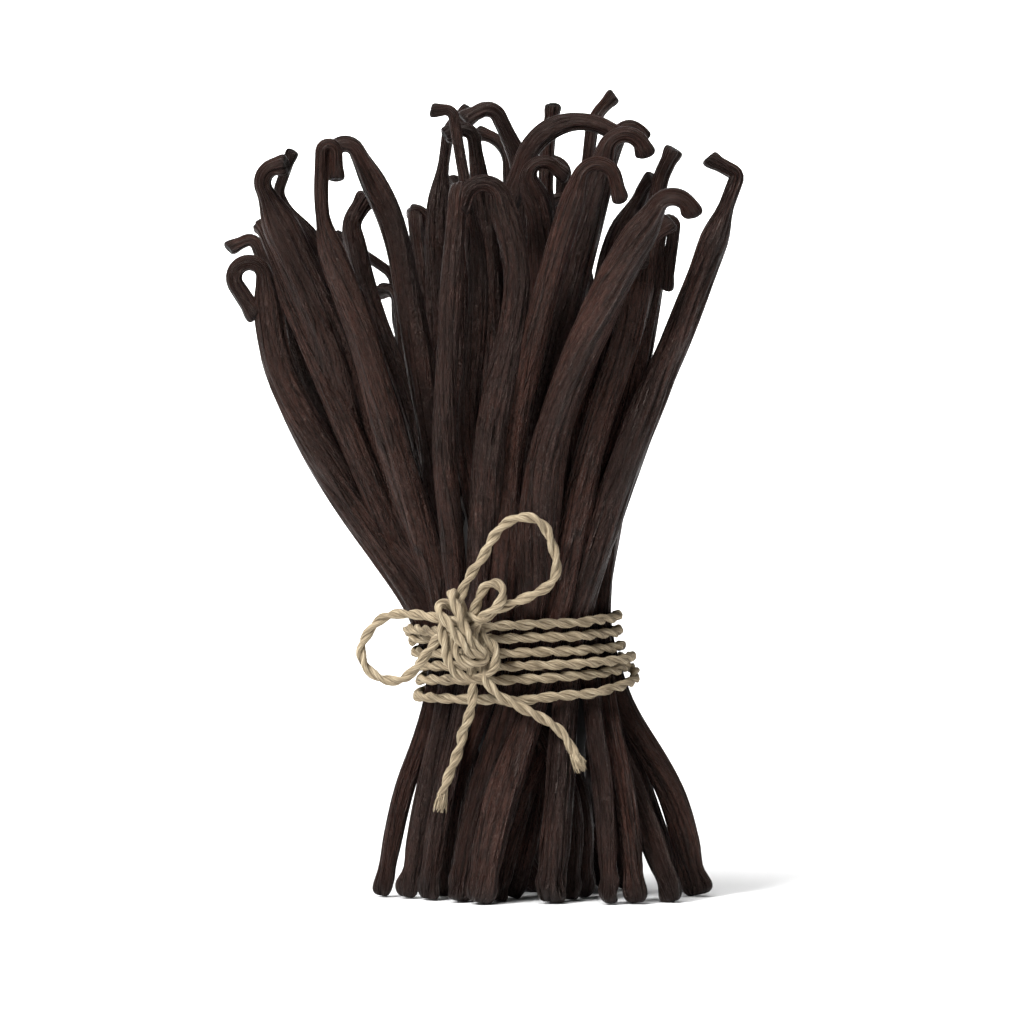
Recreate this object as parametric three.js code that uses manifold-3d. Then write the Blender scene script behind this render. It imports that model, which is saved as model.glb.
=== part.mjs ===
// A bundle of cured vanilla pods that stands on its cut feet, tied round the waist with twine.
// Millimetres, +Z up. The origin is on the floor, under the middle of the bundle, and -Y is its front.
//
// The pods are one solid: a slim hourglass core with every pod fused to it. Each pod is bent from a
// cylinder along its own path: foot, waist, one or two places higher up, neck, and a crooked stalk.
// The twine is a second solid that hugs the waist six times and ends in a bow with two tails.

import Module from 'manifold-3d';
import {
  BufferAttribute,
  BufferGeometry,
  BoxGeometry,
  CatmullRomCurve3,
  CylinderGeometry,
  ExtrudeGeometry,
  Group,
  Mesh,
  MeshStandardMaterial,
  Shape,
  Vector3,
} from 'three';
import { mergeVertices } from 'three/addons/utils/BufferGeometryUtils.js';

// ---------------------------------------------------------------- driving sizes

const WAIST_Z = 55; // height of the middle of the tie
const WAIST_HALF = 9.5; // the pods run straight for this far above and below it
const WAIST_X = 8.3; // the waist stands a little to the right of the feet's middle
const WAIST_RINGS = [
  { count: 20, across: 18.8, deep: 13.2 },
  { count: 12, across: 13, deep: 8.2 },
  { count: 6, across: 6.2, deep: 3.0 },
];
const WAIST_SQUEEZE = 0.86; // how far the tie narrows a pod

const POD_FLATNESS = 0.74; // a cured pod's thickness over its width
const FOOT_WIDTH = 0.8; // width of the blunt foot over the pod's own
const FOOT_RISE = 11; // length over which the foot swells to full width
const FOOT_CUT = 3; // each pod starts this far below the floor and is cut off level with it
const BELLY = { width: 1.12, z: 85, slimZ: 150, slimWidth: 0.96 }; // a pod is fattest below the middle
const SHIN = { z: 22, share: 0.36 }; // below the tie the pods spread, then stand a little more upright
const SPREAD = 0.7; // how far a pod already heads for its foot where it leaves the tie
const TURNED = 24; // degrees by which a pod's flat side is turned away from the front, at most
const NECK_RISE = 10; // length over which the body narrows to its stalk
const KNOB_WIDTH = 1.2; // the stalk's cut end over the stalk
const KNOB_LENGTH = 2.2;
const POD_SIDES = 6;
const BODY_STEP = 23; // length of one straight facet along a pod's body
const CROOK_STEP = 45; // degrees of a crook in one facet

const TWINE = 2.4; // diameter of the two-ply twine
const TWINE_SIDES = 6;
const TWINE_GAP = 0.3;

// ---------------------------------------------------------------- the pods

// ring, slot: the place in the waist, counted anticlockwise from the right.
// foot: [x, y]. via and neck: [x, y, z]. width: across the fleshy body. stalk: across the neck.
// slim: length of the thin stalk, measured back from its end.
// crook: the stalk turns towards the compass angle `aim` (0 right, 90 back, 180 left, 270 front)
// on `radius` through `turn` degrees, and ends in a straight `tail`.
// leg: where the pod passes the height of its shin, and its width there; the others take SHIN.share.
const PODS = [
  // left side, from the outside in
  { ring: 0, slot: 10, foot: [3, 14], via: [[-31.8, -2, 92], [-45.8, -4, 119]], neck: [-49.3, -4, 140],
    width: 6.8, stalk: 3.6, slim: 18, crook: { aim: 180, radius: 3.4, turn: 205, tail: 8 } },
  { ring: 1, slot: 7, foot: [8, 20], via: [[-34.4, 3, 103]], neck: [-51, 4, 146.5], width: 5.8, stalk: 3,
    slim: 12, crook: { aim: 180, radius: 2, turn: 95, tail: 4.4 } },
  { ring: 0, slot: 9, foot: [13.7, 10], via: [[-28.6, -7, 101]], neck: [-48.6, -8, 148.5], width: 5.8,
    stalk: 2.8, slim: 10, crook: { aim: 100, radius: 2, turn: 60, tail: 3 } },
  { ring: 1, slot: 6, foot: [18.9, 3], via: [[-26, -4, 103], [-35, -10, 128]], neck: [-49, -13, 159.5],
    width: 8.8, stalk: 3.8, slim: 9, crook: { aim: 0, radius: 3.6, turn: 105, tail: 2.6 } },
  { ring: 0, slot: 8, foot: [24, 22], via: [[-24, 8, 103], [-38.2, 2, 143]], neck: [-45.5, 0, 157],
    width: 7.6, stalk: 2.5, slim: 13, crook: { aim: 0, radius: 4, turn: 47, tail: 8.5 } },
  { ring: 0, slot: 11, foot: [-23.6, -3], via: [[-20.7, -14, 103.5], [-27.4, -18, 128], [-35.7, -20, 153]],
    neck: [-35.9, -21, 168], width: 6.7, stalk: 3.2, slim: 25,
    crook: { aim: 0, radius: 1.5, turn: 178, tail: 6.5 }, leg: { x: -18.6, y: -3.4, width: 4.4 } },
  { ring: 1, slot: 5, foot: [22.7, 14], via: [[-11.5, -4, 103.5], [-15.6, -8, 128], [-20.8, -10, 152.5]],
    neck: [-28.3, -12, 168], width: 6.4, stalk: 3.8, slim: 9,
    crook: { aim: 180, radius: 2.9, turn: 150, tail: 2 } },
  { ring: 0, slot: 7, foot: [30, 17], via: [[-15, 10, 103.5], [-27, 12, 137]], neck: [-29.7, 12, 149],
    width: 5.4, stalk: 4.4, slim: 5, crook: { aim: 0, radius: 6, turn: 45, tail: 5 } },
  { ring: 0, slot: 6, foot: [12, 25], via: [[-13.3, 18, 108]], neck: [-20.5, 20, 138], width: 5, stalk: 2.2,
    slim: 18, crook: { aim: 180, radius: 5, turn: 42, tail: 14 } },

  // middle, front to back
  { ring: 0, slot: 12, foot: [-17.8, -6], via: [[-8.8, -19, 103.5], [-7.6, -23, 130]],
    neck: [-5.9, -25, 157.3], width: 4.8, stalk: 4.2, slim: 4,
    crook: { aim: 80, radius: 2, turn: 110, tail: 2.5 }, leg: { x: -13.2, y: -7, width: 5.2 } },
  { ring: 0, slot: 13, foot: [-13.2, -10], via: [[1.4, -19, 103.5], [7.4, -23, 140]],
    neck: [3.8, -24.5, 158], width: 6.4, stalk: 3.4, slim: 9,
    crook: { aim: 180, radius: 3.9, turn: 145, tail: 4 }, leg: { x: -9.4, y: -10.5, width: 5 } },
  { ring: 1, slot: 8, foot: [-7, 10], via: [[-3.6, -14, 103.5], [-1.2, -19, 138]], neck: [-6.6, -15, 175.5],
    width: 4.6, stalk: 2.6, slim: 26, crook: { aim: 180, radius: 2, turn: 85, tail: 3.2 } },
  { ring: 2, slot: 3, foot: [5, 21], via: [[2.4, -3, 103.5], [1.4, -7, 140]], neck: [-2.1, -9, 170.5],
    width: 4.6, stalk: 3.3, slim: 9, crook: { aim: 180, radius: 2.6, turn: 105, tail: 3.5 } },
  { ring: 2, slot: 4, foot: [10, 14], via: [[6, 1, 103.5], [4.5, -6, 151]], neck: [9, -8, 165.5], width: 5,
    stalk: 3.6, slim: 9, crook: { aim: 0, radius: 13, turn: 115, tail: 1 } },
  { ring: 2, slot: 5, foot: [22.3, -6], via: [[11, -5, 103.5], [12.4, -12, 154]], neck: [10.1, -13, 161.2],
    width: 6.6, stalk: 3, slim: 8, crook: { aim: 0, radius: 3.4, turn: 150, tail: 4 },
    leg: { x: 21.6, y: -7, width: 4.8 } },
  { ring: 2, slot: 2, foot: [-8, 16], via: [[5, 7, 103.5], [10, 5, 150], [8.4, 4, 164]],
    neck: [3.4, 2, 175.5], width: 5.4, stalk: 3.6, slim: 13,
    crook: { aim: 180, radius: 3, turn: 95, tail: 4.5 } },
  { ring: 2, slot: 1, foot: [-10, 20], via: [[13, 5, 103.5], [13.6, 4, 150]], neck: [14.2, 4, 167.4],
    width: 5.6, stalk: 3.2, slim: 18, crook: { aim: 0, radius: 20, turn: 6, tail: 9 } },
  { ring: 1, slot: 3, foot: [16, 24], via: [[-7, 13, 103.5], [-10.8, 15, 148]], neck: [-8.3, 15, 171],
    width: 5.2, stalk: 2.8, slim: 14, crook: { aim: 0, radius: 5, turn: 42, tail: 4.5 } },
  { ring: 1, slot: 4, foot: [-5, 25], via: [[-9.9, 21, 103.5]], neck: [-15.5, 24, 150], width: 6.2,
    stalk: 3.4, slim: 9, crook: { aim: 90, radius: 3, turn: 70, tail: 3 } },
  { ring: 0, slot: 5, foot: [8, 27], via: [[-8.4, 22, 103.5]], neck: [-13.3, 26.5, 152], width: 5.6,
    stalk: 2.6, slim: 13, crook: { aim: 180, radius: 2, turn: 82, tail: 2 } },
  { ring: 0, slot: 4, foot: [-1, 27], via: [[7, 21, 103.5]], neck: [5.6, 25, 164.5], width: 5, stalk: 3,
    slim: 18, crook: { aim: 180, radius: 7, turn: 74, tail: 2.5 } },

  // right side, from the middle out
  { ring: 0, slot: 14, foot: [-10.1, -3], via: [[6.3, -17, 103.5], [13.4, -24, 135]],
    neck: [21.4, -26, 162.5], width: 6, stalk: 3.2, slim: 13,
    crook: { aim: 0, radius: 4, turn: 150, tail: 5.5 }, leg: { x: -7, y: -6, width: 3.8 } },
  { ring: 1, slot: 9, foot: [18.8, -12], via: [[12.6, -7, 103.5], [19.8, -14, 137]],
    neck: [27.4, -16, 168.5], width: 6.8, stalk: 3.8, slim: 9,
    crook: { aim: 0, radius: 4.2, turn: 142, tail: 2.5 }, leg: { x: 19.4, y: -11, width: 4.8 } },
  { ring: 2, slot: 0, foot: [0, 12], via: [[18, 0, 103.5], [21.3, -5, 146]], neck: [30.2, -6, 171.5],
    width: 5, stalk: 3.8, slim: 10, crook: { aim: 0, radius: 2.5, turn: 130, tail: 2 } },
  { ring: 1, slot: 2, foot: [-2, 20], via: [[17, 12, 103.5], [21.6, 11, 150]], neck: [24.2, 10, 172],
    width: 5.2, stalk: 3, slim: 22, crook: { aim: 0, radius: 10, turn: 36, tail: 4 } },
  { ring: 0, slot: 18, foot: [28.3, -21], via: [[23.9, 4, 103.5], [23, 6, 130]], neck: [21.5, 5, 150],
    width: 5, stalk: 3, slim: 10, crook: { aim: 90, radius: 3, turn: 60, tail: 4 },
    leg: { x: 27, y: -17, width: 4.6 } },
  { ring: 1, slot: 0, foot: [43.8, -17], via: [[24, 2, 103.5], [29.6, 0, 144]], neck: [35.6, -3, 158.6],
    width: 7.2, stalk: 4, slim: 5, crook: { aim: 0, radius: 6, turn: 20, tail: 2.5 },
    leg: { x: 34.4, y: -9, width: 5.6 } },
  { ring: 0, slot: 15, foot: [-6.3, -15], via: [[14.9, -19, 103.5], [27.8, -25, 137]],
    neck: [38.4, -28, 156], width: 8.2, stalk: 4.3, slim: 9,
    crook: { aim: 0, radius: 4, turn: 125, tail: 2.2 }, leg: { x: -1.4, y: -14.5, width: 6 } },
  { ring: 1, slot: 11, foot: [1.8, -13], via: [[20, -9, 103.5], [29, -17, 136]], neck: [32, -19, 142],
    width: 6, stalk: 3.2, slim: 12, crook: { aim: 0, radius: 3, turn: 60, tail: 2 },
    leg: { x: 7.6, y: -12, width: 6 } },
  { ring: 0, slot: 16, foot: [-2, -20], via: [[24.3, -15, 103.5], [31.7, -17, 126]], neck: [37.2, -18, 148],
    width: 6.2, stalk: 3.6, slim: 8, crook: { aim: 0, radius: 4, turn: 40, tail: 4 },
    leg: { x: 3.6, y: -17.5, width: 7.2 } },
  { ring: 1, slot: 10, foot: [6, -7], via: [[30.6, -10, 103.5], [36.2, -13, 131]], neck: [39.8, -14, 151.5],
    width: 5.6, stalk: 2.7, slim: 21, crook: { aim: 0, radius: 1.4, turn: 178, tail: 14 },
    leg: { x: 11.6, y: -9, width: 4.8 } },
  { ring: 0, slot: 19, foot: [34.3, -20], via: [[29, -5, 103.5], [33.6, -7, 132]], neck: [39.3, -7, 160.6],
    width: 6.2, stalk: 3.6, slim: 12, crook: { aim: 0, radius: 14, turn: 15, tail: 5 },
    leg: { x: 31.7, y: -14, width: 5.2 } },
  { ring: 0, slot: 17, foot: [14.4, -18], via: [[33.6, -14, 103.5], [45, -13, 131]],
    neck: [56.3, -12, 161.5], width: 6.8, stalk: 3.3, slim: 14,
    crook: { aim: 180, radius: 1.6, turn: 82, tail: 6.4 }, leg: { x: 16.7, y: -16, width: 6.8 } },
  { ring: 0, slot: 0, foot: [48.6, -1], via: [[31, 3, 103.5]], neck: [36, 10, 148], width: 6.4, stalk: 3.2,
    slim: 11, crook: { aim: 90, radius: 4, turn: 80, tail: 3 }, leg: { x: 42.6, y: -1, width: 6.4 } },
  { ring: 0, slot: 1, foot: [45.5, 4], via: [[26, 15, 103.5]], neck: [33, 21, 146], width: 6, stalk: 3,
    slim: 14, crook: { aim: 60, radius: 3.4, turn: 120, tail: 3 }, leg: { x: 36.6, y: 4, width: 4.2 } },
  { ring: 0, slot: 2, foot: [34, 17], via: [[21, 19, 100]], neck: [25, 25, 130], width: 6.4, stalk: 3.2,
    slim: 14, crook: { aim: 30, radius: 3, turn: 140, tail: 3 } },
  { ring: 0, slot: 3, foot: [24, 27], via: [[13, 21, 100]], neck: [12, 25.5, 150], width: 6.2, stalk: 3,
    slim: 14, crook: { aim: 150, radius: 4, turn: 110, tail: 3 } },
  { ring: 1, slot: 1, foot: [20, 22], via: [[15, 17, 104]], neck: [18, 19, 162.5], width: 5.4, stalk: 3.4,
    slim: 15, crook: { aim: 180, radius: 2, turn: 85, tail: 2 } },

  // behind, showing only between the others
  { ring: 1, slot: 3.5, foot: [1, 22], via: [[-3.6, 14, 103.5]], neck: [-5.4, 18, 158], width: 6, stalk: 3,
    slim: 12, crook: { aim: 120, radius: 3, turn: 100, tail: 3 } },
  { ring: 1, slot: 2.5, foot: [6, 20], via: [[2.4, 12, 103.5]], neck: [2.8, 15, 146], width: 6, stalk: 3,
    slim: 10, crook: { aim: 60, radius: 3, turn: 80, tail: 2 } },
  { ring: 1, slot: 1.5, foot: [13, 23], via: [[13, 9, 103.5]], neck: [14.2, 12, 154], width: 6, stalk: 3,
    slim: 12, crook: { aim: 20, radius: 3, turn: 90, tail: 3 } },
  { ring: 1, slot: 4.5, foot: [16, 18], via: [[-13, 9, 103.5]], neck: [-19.5, 15, 134], width: 6.2,
    stalk: 3, slim: 10, crook: { aim: 130, radius: 3, turn: 80, tail: 3 } },
];

// ---------------------------------------------------------------- the hidden core

// Height, centre and half-widths of the core's sections, kept inside the pods that surround it.
const CORE = [
  { z: 10, x: 13, across: 9, deep: 7 },
  { z: 30, x: 11, across: 11, deep: 8 },
  { z: 45, x: WAIST_X, across: 16, deep: 10 },
  { z: 66, x: WAIST_X, across: 16, deep: 10 },
  { z: 78, x: 7.5, across: 13, deep: 9 },
  { z: 96, x: 6, across: 9, deep: 5 },
];
const CORE_SIDES = 16;

// ---------------------------------------------------------------- shaping one pod

const clamp01 = (value) => Math.min(1, Math.max(0, value));
const mix = (from, to, share) => from + (to - from) * share;
const smooth = (share) => clamp01(share) ** 2 * (3 - 2 * clamp01(share));
const radians = (degrees) => (degrees * Math.PI) / 180;

function waistPlace(pod) {
  const ring = WAIST_RINGS[pod.ring];
  const angle = (pod.slot / ring.count) * 2 * Math.PI;
  return new Vector3(WAIST_X + ring.across * Math.cos(angle), ring.deep * Math.sin(angle), WAIST_Z);
}

// The body as one smooth curve from the foot to the neck.
function bodyCurve(pod) {
  const foot = new Vector3(pod.foot[0], pod.foot[1], -FOOT_CUT);
  const waist = waistPlace(pod);
  const above = new Vector3(...pod.via[0]);
  const lean = above.clone().sub(foot).divideScalar(above.z + FOOT_CUT);
  const toFoot = waist.clone().sub(foot).divideScalar(WAIST_Z + FOOT_CUT);
  const lower = waist.clone().addScaledVector(lean.clone().lerp(toFoot, SPREAD), -WAIST_HALF);
  const upper = waist.clone().addScaledVector(lean, WAIST_HALF);
  const higher = pod.via.map((place) => new Vector3(...place));
  const shin = pod.leg ? new Vector3(pod.leg.x, pod.leg.y, 0) : foot.clone().lerp(waist, SHIN.share);
  shin.setZ(SHIN.z);
  return new CatmullRomCurve3([foot, shin, lower, upper, ...higher, new Vector3(...pod.neck)]);
}

// Points along the whole pod: even steps on the body, then the crook's arc, then its tail.
function podPoints(pod) {
  const curve = bodyCurve(pod);
  const points = curve.getSpacedPoints(Math.round(curve.getLength() / BODY_STEP));
  const ahead = curve.getTangent(1).normalize();
  const { aim, radius, turn, tail } = pod.crook;
  const aside = new Vector3(Math.cos(radians(aim)), Math.sin(radians(aim)), 0);
  aside.addScaledVector(ahead, -aside.dot(ahead)).normalize();
  const neck = points.at(-1);
  const arcSteps = Math.max(1, Math.round(turn / CROOK_STEP));
  for (let step = 1; step <= arcSteps; step += 1) {
    const angle = radians((turn * step) / arcSteps);
    points.push(
      neck.clone()
        .addScaledVector(ahead, radius * Math.sin(angle))
        .addScaledVector(aside, radius * (1 - Math.cos(angle))),
    );
  }
  const heading = ahead.clone().multiplyScalar(Math.cos(radians(turn)));
  heading.addScaledVector(aside, Math.sin(radians(turn)));
  const bend = points.at(-1);
  if (tail > 2 * KNOB_LENGTH) points.push(bend.clone().addScaledVector(heading, tail - KNOB_LENGTH));
  points.push(bend.clone().addScaledVector(heading, tail));
  return points;
}

// Width of a pod at a distance from its foot and from the end of its stalk.
function podWidth(pod, fromFoot, fromEnd, height) {
  const foot = mix(FOOT_WIDTH, 1, smooth(fromFoot / FOOT_RISE));
  const body = mix(pod.stalk / pod.width, 1, smooth((fromEnd - pod.slim) / NECK_RISE));
  const squeeze = mix(WAIST_SQUEEZE, 1, smooth((Math.abs(height - WAIST_Z) - WAIST_HALF) / 20));
  const upper = mix(BELLY.width, BELLY.slimWidth, smooth((height - BELLY.z) / (BELLY.slimZ - BELLY.z)));
  const belly = pod.leg ? mix(pod.leg.width / pod.width, upper, smooth((height - 30) / 45)) : upper;
  const knob = fromEnd < KNOB_LENGTH ? KNOB_WIDTH : 1;
  return pod.width * Math.min(foot, body) * belly * squeeze * knob;
}

// Carries a sideways direction along the points without twisting it.
function framesAlong(points, start) {
  const aside = start.clone();
  return points.map((point, index) => {
    const before = points[Math.max(0, index - 1)];
    const after = points[Math.min(points.length - 1, index + 1)];
    const ahead = after.clone().sub(before).normalize();
    aside.addScaledVector(ahead, -aside.dot(ahead)).normalize();
    return { point, ahead, across: aside.clone() };
  });
}

// Bends a capped cylinder along the points, with one ring of its vertices at each point.
function bentCylinder(frames, sides, sizeAt) {
  const steps = frames.length - 1;
  const geometry = new CylinderGeometry(1, 1, 1, sides, steps);
  const position = geometry.attributes.position;
  for (let index = 0; index < position.count; index += 1) {
    const step = Math.round((position.getY(index) + 0.5) * steps);
    const { point, ahead, across } = frames[step];
    const { wide, thick } = sizeAt(step);
    const deep = across.clone().cross(ahead);
    const vertex = point.clone()
      .addScaledVector(across, position.getX(index) * wide)
      .addScaledVector(deep, position.getZ(index) * thick);
    position.setXYZ(index, vertex.x, vertex.y, vertex.z);
  }
  return geometry;
}

// The pods lie with their flat side roughly to the front, each turned a little differently.
function flatWay(pod) {
  const turned = radians(TURNED) * Math.sin(2.4 * PODS.indexOf(pod));
  return new Vector3(Math.cos(turned), Math.sin(turned), 0);
}

function podGeometry(pod) {
  const points = podPoints(pod);
  const lengths = [0];
  for (let index = 1; index < points.length; index += 1) {
    lengths.push(lengths[index - 1] + points[index].distanceTo(points[index - 1]));
  }
  const whole = lengths.at(-1);
  return bentCylinder(framesAlong(points, flatWay(pod)), POD_SIDES, (step) => {
    const wide = podWidth(pod, lengths[step], whole - lengths[step], points[step].z) / 2;
    const roundness = smooth((pod.slim - whole + lengths[step]) / NECK_RISE + 1);
    return { wide, thick: wide * mix(POD_FLATNESS, 1, roundness) };
  });
}

function coreGeometry() {
  const frames = CORE.map((section) => ({
    point: new Vector3(section.x, 0, section.z),
    ahead: new Vector3(0, 0, 1),
    across: new Vector3(1, 0, 0),
  }));
  return bentCylinder(frames, CORE_SIDES, (step) => ({ wide: CORE[step].across, thick: CORE[step].deep }));
}

// ---------------------------------------------------------------- joining solids

const wasm = await Module();
wasm.setup();

function toSolid(geometry) {
  const bare = geometry.clone();
  bare.deleteAttribute('normal');
  bare.deleteAttribute('uv');
  const merged = mergeVertices(bare, 1e-4);
  return new wasm.Manifold(new wasm.Mesh({
    numProp: 3,
    vertProperties: new Float32Array(merged.attributes.position.array),
    triVerts: new Uint32Array(merged.index.array),
  }));
}

function toGeometry(solid) {
  const mesh = solid.getMesh();
  const geometry = new BufferGeometry();
  geometry.setAttribute('position', new BufferAttribute(new Float32Array(mesh.vertProperties), 3));
  geometry.setIndex(new BufferAttribute(new Uint32Array(mesh.triVerts), 1));
  geometry.computeVertexNormals();
  return geometry;
}

// The largest outer body of a join: sealed hollows are filled and loose scraps are dropped.
function outerBody(solid) {
  return solid.decompose().reduce((best, body) => (body.volume() > best.volume() ? body : best));
}

function fuse(geometries) {
  return geometries.map(toSolid).reduce((whole, piece) => whole.add(piece));
}

// ---------------------------------------------------------------- the fused pods

function podsSolid() {
  const whole = fuse([coreGeometry(), ...PODS.map(podGeometry)]);
  const below = new BoxGeometry(400, 400, 40);
  below.translate(0, 0, -20);
  return outerBody(whole.subtract(toSolid(below)));
}

const pods = podsSolid();

// ---------------------------------------------------------------- the twine round the waist

// Heights of each pass across the front: at the left edge, in the middle and at the right edge.
// rise: how far the pass stands off the others at the right edge, where the twine crosses itself.
const PASSES = [
  { left: 60.6, middle: 62.4, right: 63.6, rise: 0 },
  { left: 57.7, middle: 59.5, right: 60.2, rise: 0 },
  { left: 54.9, middle: 56.2, right: 56.8, rise: 0 },
  { left: 52.1, middle: 53.2, right: 54.3, rise: 1.9 },
  { left: 49.0, middle: 50.2, right: 52.3, rise: 0 },
  { left: 45.4, middle: 45.6, right: 49.8, rise: 1.2 },
];
const PASS_STEPS = 7; // facets of a half turn
const SECTION_SLACK = 0.55; // a leaning pod's level section is a little larger than its own
const LINE_STEP = 3; // the taut line round the pods is found anew every so many millimetres of height
const FAR = 100; // far from the foot and from the end of the stalk
const BLUR = 4; // degrees over which that line is smoothed
const KNOT_ANGLE = 260; // where on the waist the knot sits, as seen from above
const CROSSING = 120; // degrees from the right edge within which a pass stands off the others
const LAST_LEFT = 60.4; // height at which the last half turn reaches the left edge again
const LAST_RISE = 3.4; // it crosses over the others behind
const FROM_KNOT = [[-4, -21.4, 61.4], [-1, -19, 61.9]];
const TO_KNOT = [[-10, -17.2, 60.9], [-5.5, -21.4, 61.2]];

// Each pod's oval section at one height: centre, half-widths and the direction of the wide one.
function sectionsAt(height) {
  return PODS.map((pod) => {
    const points = podPoints(pod);
    const upper = points.findIndex((point) => point.z >= height);
    const share = (height - points[upper - 1].z) / (points[upper].z - points[upper - 1].z);
    const centre = points[upper - 1].clone().lerp(points[upper], share);
    const wide = podWidth(pod, FAR, FAR, height) / 2 + SECTION_SLACK;
    return { centre, across: flatWay(pod), wide, thick: wide * POD_FLATNESS + SECTION_SLACK };
  });
}

// The taut line round the bundle at one height: where a band pulled round the sections would lie.
function waistLine(height, offset) {
  const sections = sectionsAt(height);
  const reach = (angle) => {
    const way = new Vector3(Math.cos(angle), Math.sin(angle), 0);
    return Math.max(...sections.map(({ centre, across, wide, thick }) => {
      const along = way.dot(across);
      const spread = Math.hypot(wide * along, thick * Math.sqrt(Math.max(0, 1 - along * along)));
      return (centre.x - WAIST_X) * way.x + centre.y * way.y + spread;
    })) + offset;
  };
  return (degrees) => {
    const angle = radians(degrees);
    const small = radians(BLUR);
    const slope = (reach(angle + small) - reach(angle - small)) / (2 * small);
    const far = (reach(angle - small) + 2 * reach(angle) + reach(angle + small)) / 4;
    return new Vector3(
      WAIST_X + far * Math.cos(angle) - slope * Math.sin(angle),
      far * Math.sin(angle) + slope * Math.cos(angle),
      0,
    );
  };
}

// turn is 0 at the left edge in front, 1 at the right edge and 2 at the left edge again, behind.
function passHeight(pass, nextLeft, turn) {
  if (turn < 0.5) return mix(pass.left, pass.middle, turn * 2);
  if (turn <= 1) return mix(pass.middle, pass.right, turn * 2 - 1);
  return mix(pass.right, nextLeft, turn - 1);
}

function passRise(pass, last, turn) {
  if (last && turn > 1) {
    const climb = smooth((turn - 1) * 5);
    const settle = smooth((turn - 1) * 4 - 3);
    return mix(pass.rise, LAST_RISE, climb) * (1 - settle);
  }
  const fromEdge = clamp01((180 * Math.abs(turn - 1)) / CROSSING);
  return pass.rise * Math.cos(radians(90 * fromEdge)) ** 2;
}

// All the turns as one run of points, from the knot round six times and back up to the knot.
function windingPoints() {
  const offset = TWINE / 2 + TWINE_GAP + SECTION_SLACK;
  const lines = new Map();
  const place = (degrees, height, rise) => {
    const level = Math.round(height / LINE_STEP) * LINE_STEP;
    if (!lines.has(level)) lines.set(level, waistLine(level, offset));
    const spot = lines.get(level)(degrees);
    const outward = new Vector3(Math.cos(radians(degrees)), Math.sin(radians(degrees)), 0);
    return spot.addScaledVector(outward, rise).setZ(height);
  };
  const points = FROM_KNOT.map((spot) => new Vector3(...spot));
  PASSES.forEach((pass, index) => {
    const next = PASSES[index + 1];
    for (let step = 0; step < 2 * PASS_STEPS; step += 1) {
      const degrees = 180 + (180 * step) / PASS_STEPS;
      if (index === 0 && degrees < KNOT_ANGLE) continue;
      const turn = step / PASS_STEPS;
      const height = passHeight(pass, next ? next.left : LAST_LEFT, turn);
      points.push(place(degrees, height, passRise(pass, !next, turn)));
    }
  });
  points.push(place(180, LAST_LEFT, 0), ...TO_KNOT.map((spot) => new Vector3(...spot)));
  return points;
}

// ---------------------------------------------------------------- the bow

// The route of the twine outside the windings, as [x, y, z], from the left tail's cut end.
const TAIL_AND_BIG_LOOP = [
  [-9.9, -18.6, 21.6], [-8.6, -18.8, 26.6], [-6.8, -19, 31.3], [-5.4, -19.3, 35.1], [-4.6, -20, 38.8],
  [-3.2, -21.2, 42.6], [-2.5, -22, 46.6], [-2.5, -22.2, 51], [-3.6, -22.2, 56], [-5, -22.2, 61],
  [-5.4, -22.2, 65.4], [-4.9, -22.4, 69.8], [-2.7, -22.8, 74.3], [-0.2, -23.4, 77.9], [1.6, -24.2, 81.5],
  [4.1, -25, 84.8], [7.2, -25.6, 86.6], [10.8, -25.8, 86.7], [13.4, -25.6, 84.9], [14.9, -25.2, 81.6],
  [15.9, -24.6, 78.4], [16.2, -24, 75.2], [14.9, -23.4, 72], [11.7, -23, 69.8], [7.8, -22.8, 68.1],
  [3.4, -23, 66.3], [-0.4, -23.6, 64.2],
];
const LEFT_LOOP = [
  [-5, -22.8, 62.8], [-9.5, -21.6, 64], [-13, -19.6, 64.6], [-17.2, -17.2, 64.8], [-20.9, -15.4, 64.5],
  [-23.8, -14.4, 62.8], [-26, -13.8, 60.1], [-27.4, -13.6, 57.2], [-27, -13.8, 54], [-25.2, -14.2, 51.5],
  [-22.2, -14.9, 50], [-19, -15.9, 49.9], [-16.4, -17, 51.4], [-14, -18.2, 54.2], [-11.7, -19.6, 57.6],
  [-9.2, -21.2, 60.6], [-5.6, -22.8, 61.6],
];
const SMALL_LOOP_AND_TAIL = [
  [-3.4, -21, 63.4], [-1.9, -21.8, 66.4], [-0.8, -22.5, 69.4], [0.6, -23.2, 71.5], [2.5, -23.8, 72.1],
  [4, -24.2, 71], [4.2, -24.6, 69.1], [3.1, -24.7, 67.2], [1.1, -24.4, 65.5], [-1, -23, 63.7],
  [-2, -20.8, 61.2], [-1.2, -20.6, 57.4], [-0.4, -22, 53.8], [0.5, -23.2, 50.6], [2.8, -23.2, 47.5],
  [5.6, -22.6, 45.6], [8.9, -22, 43.9], [13, -21.2, 41.8], [17.2, -20.6, 38.7], [19.6, -20.5, 35],
  [21.7, -20.8, 30.6],
];
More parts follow.
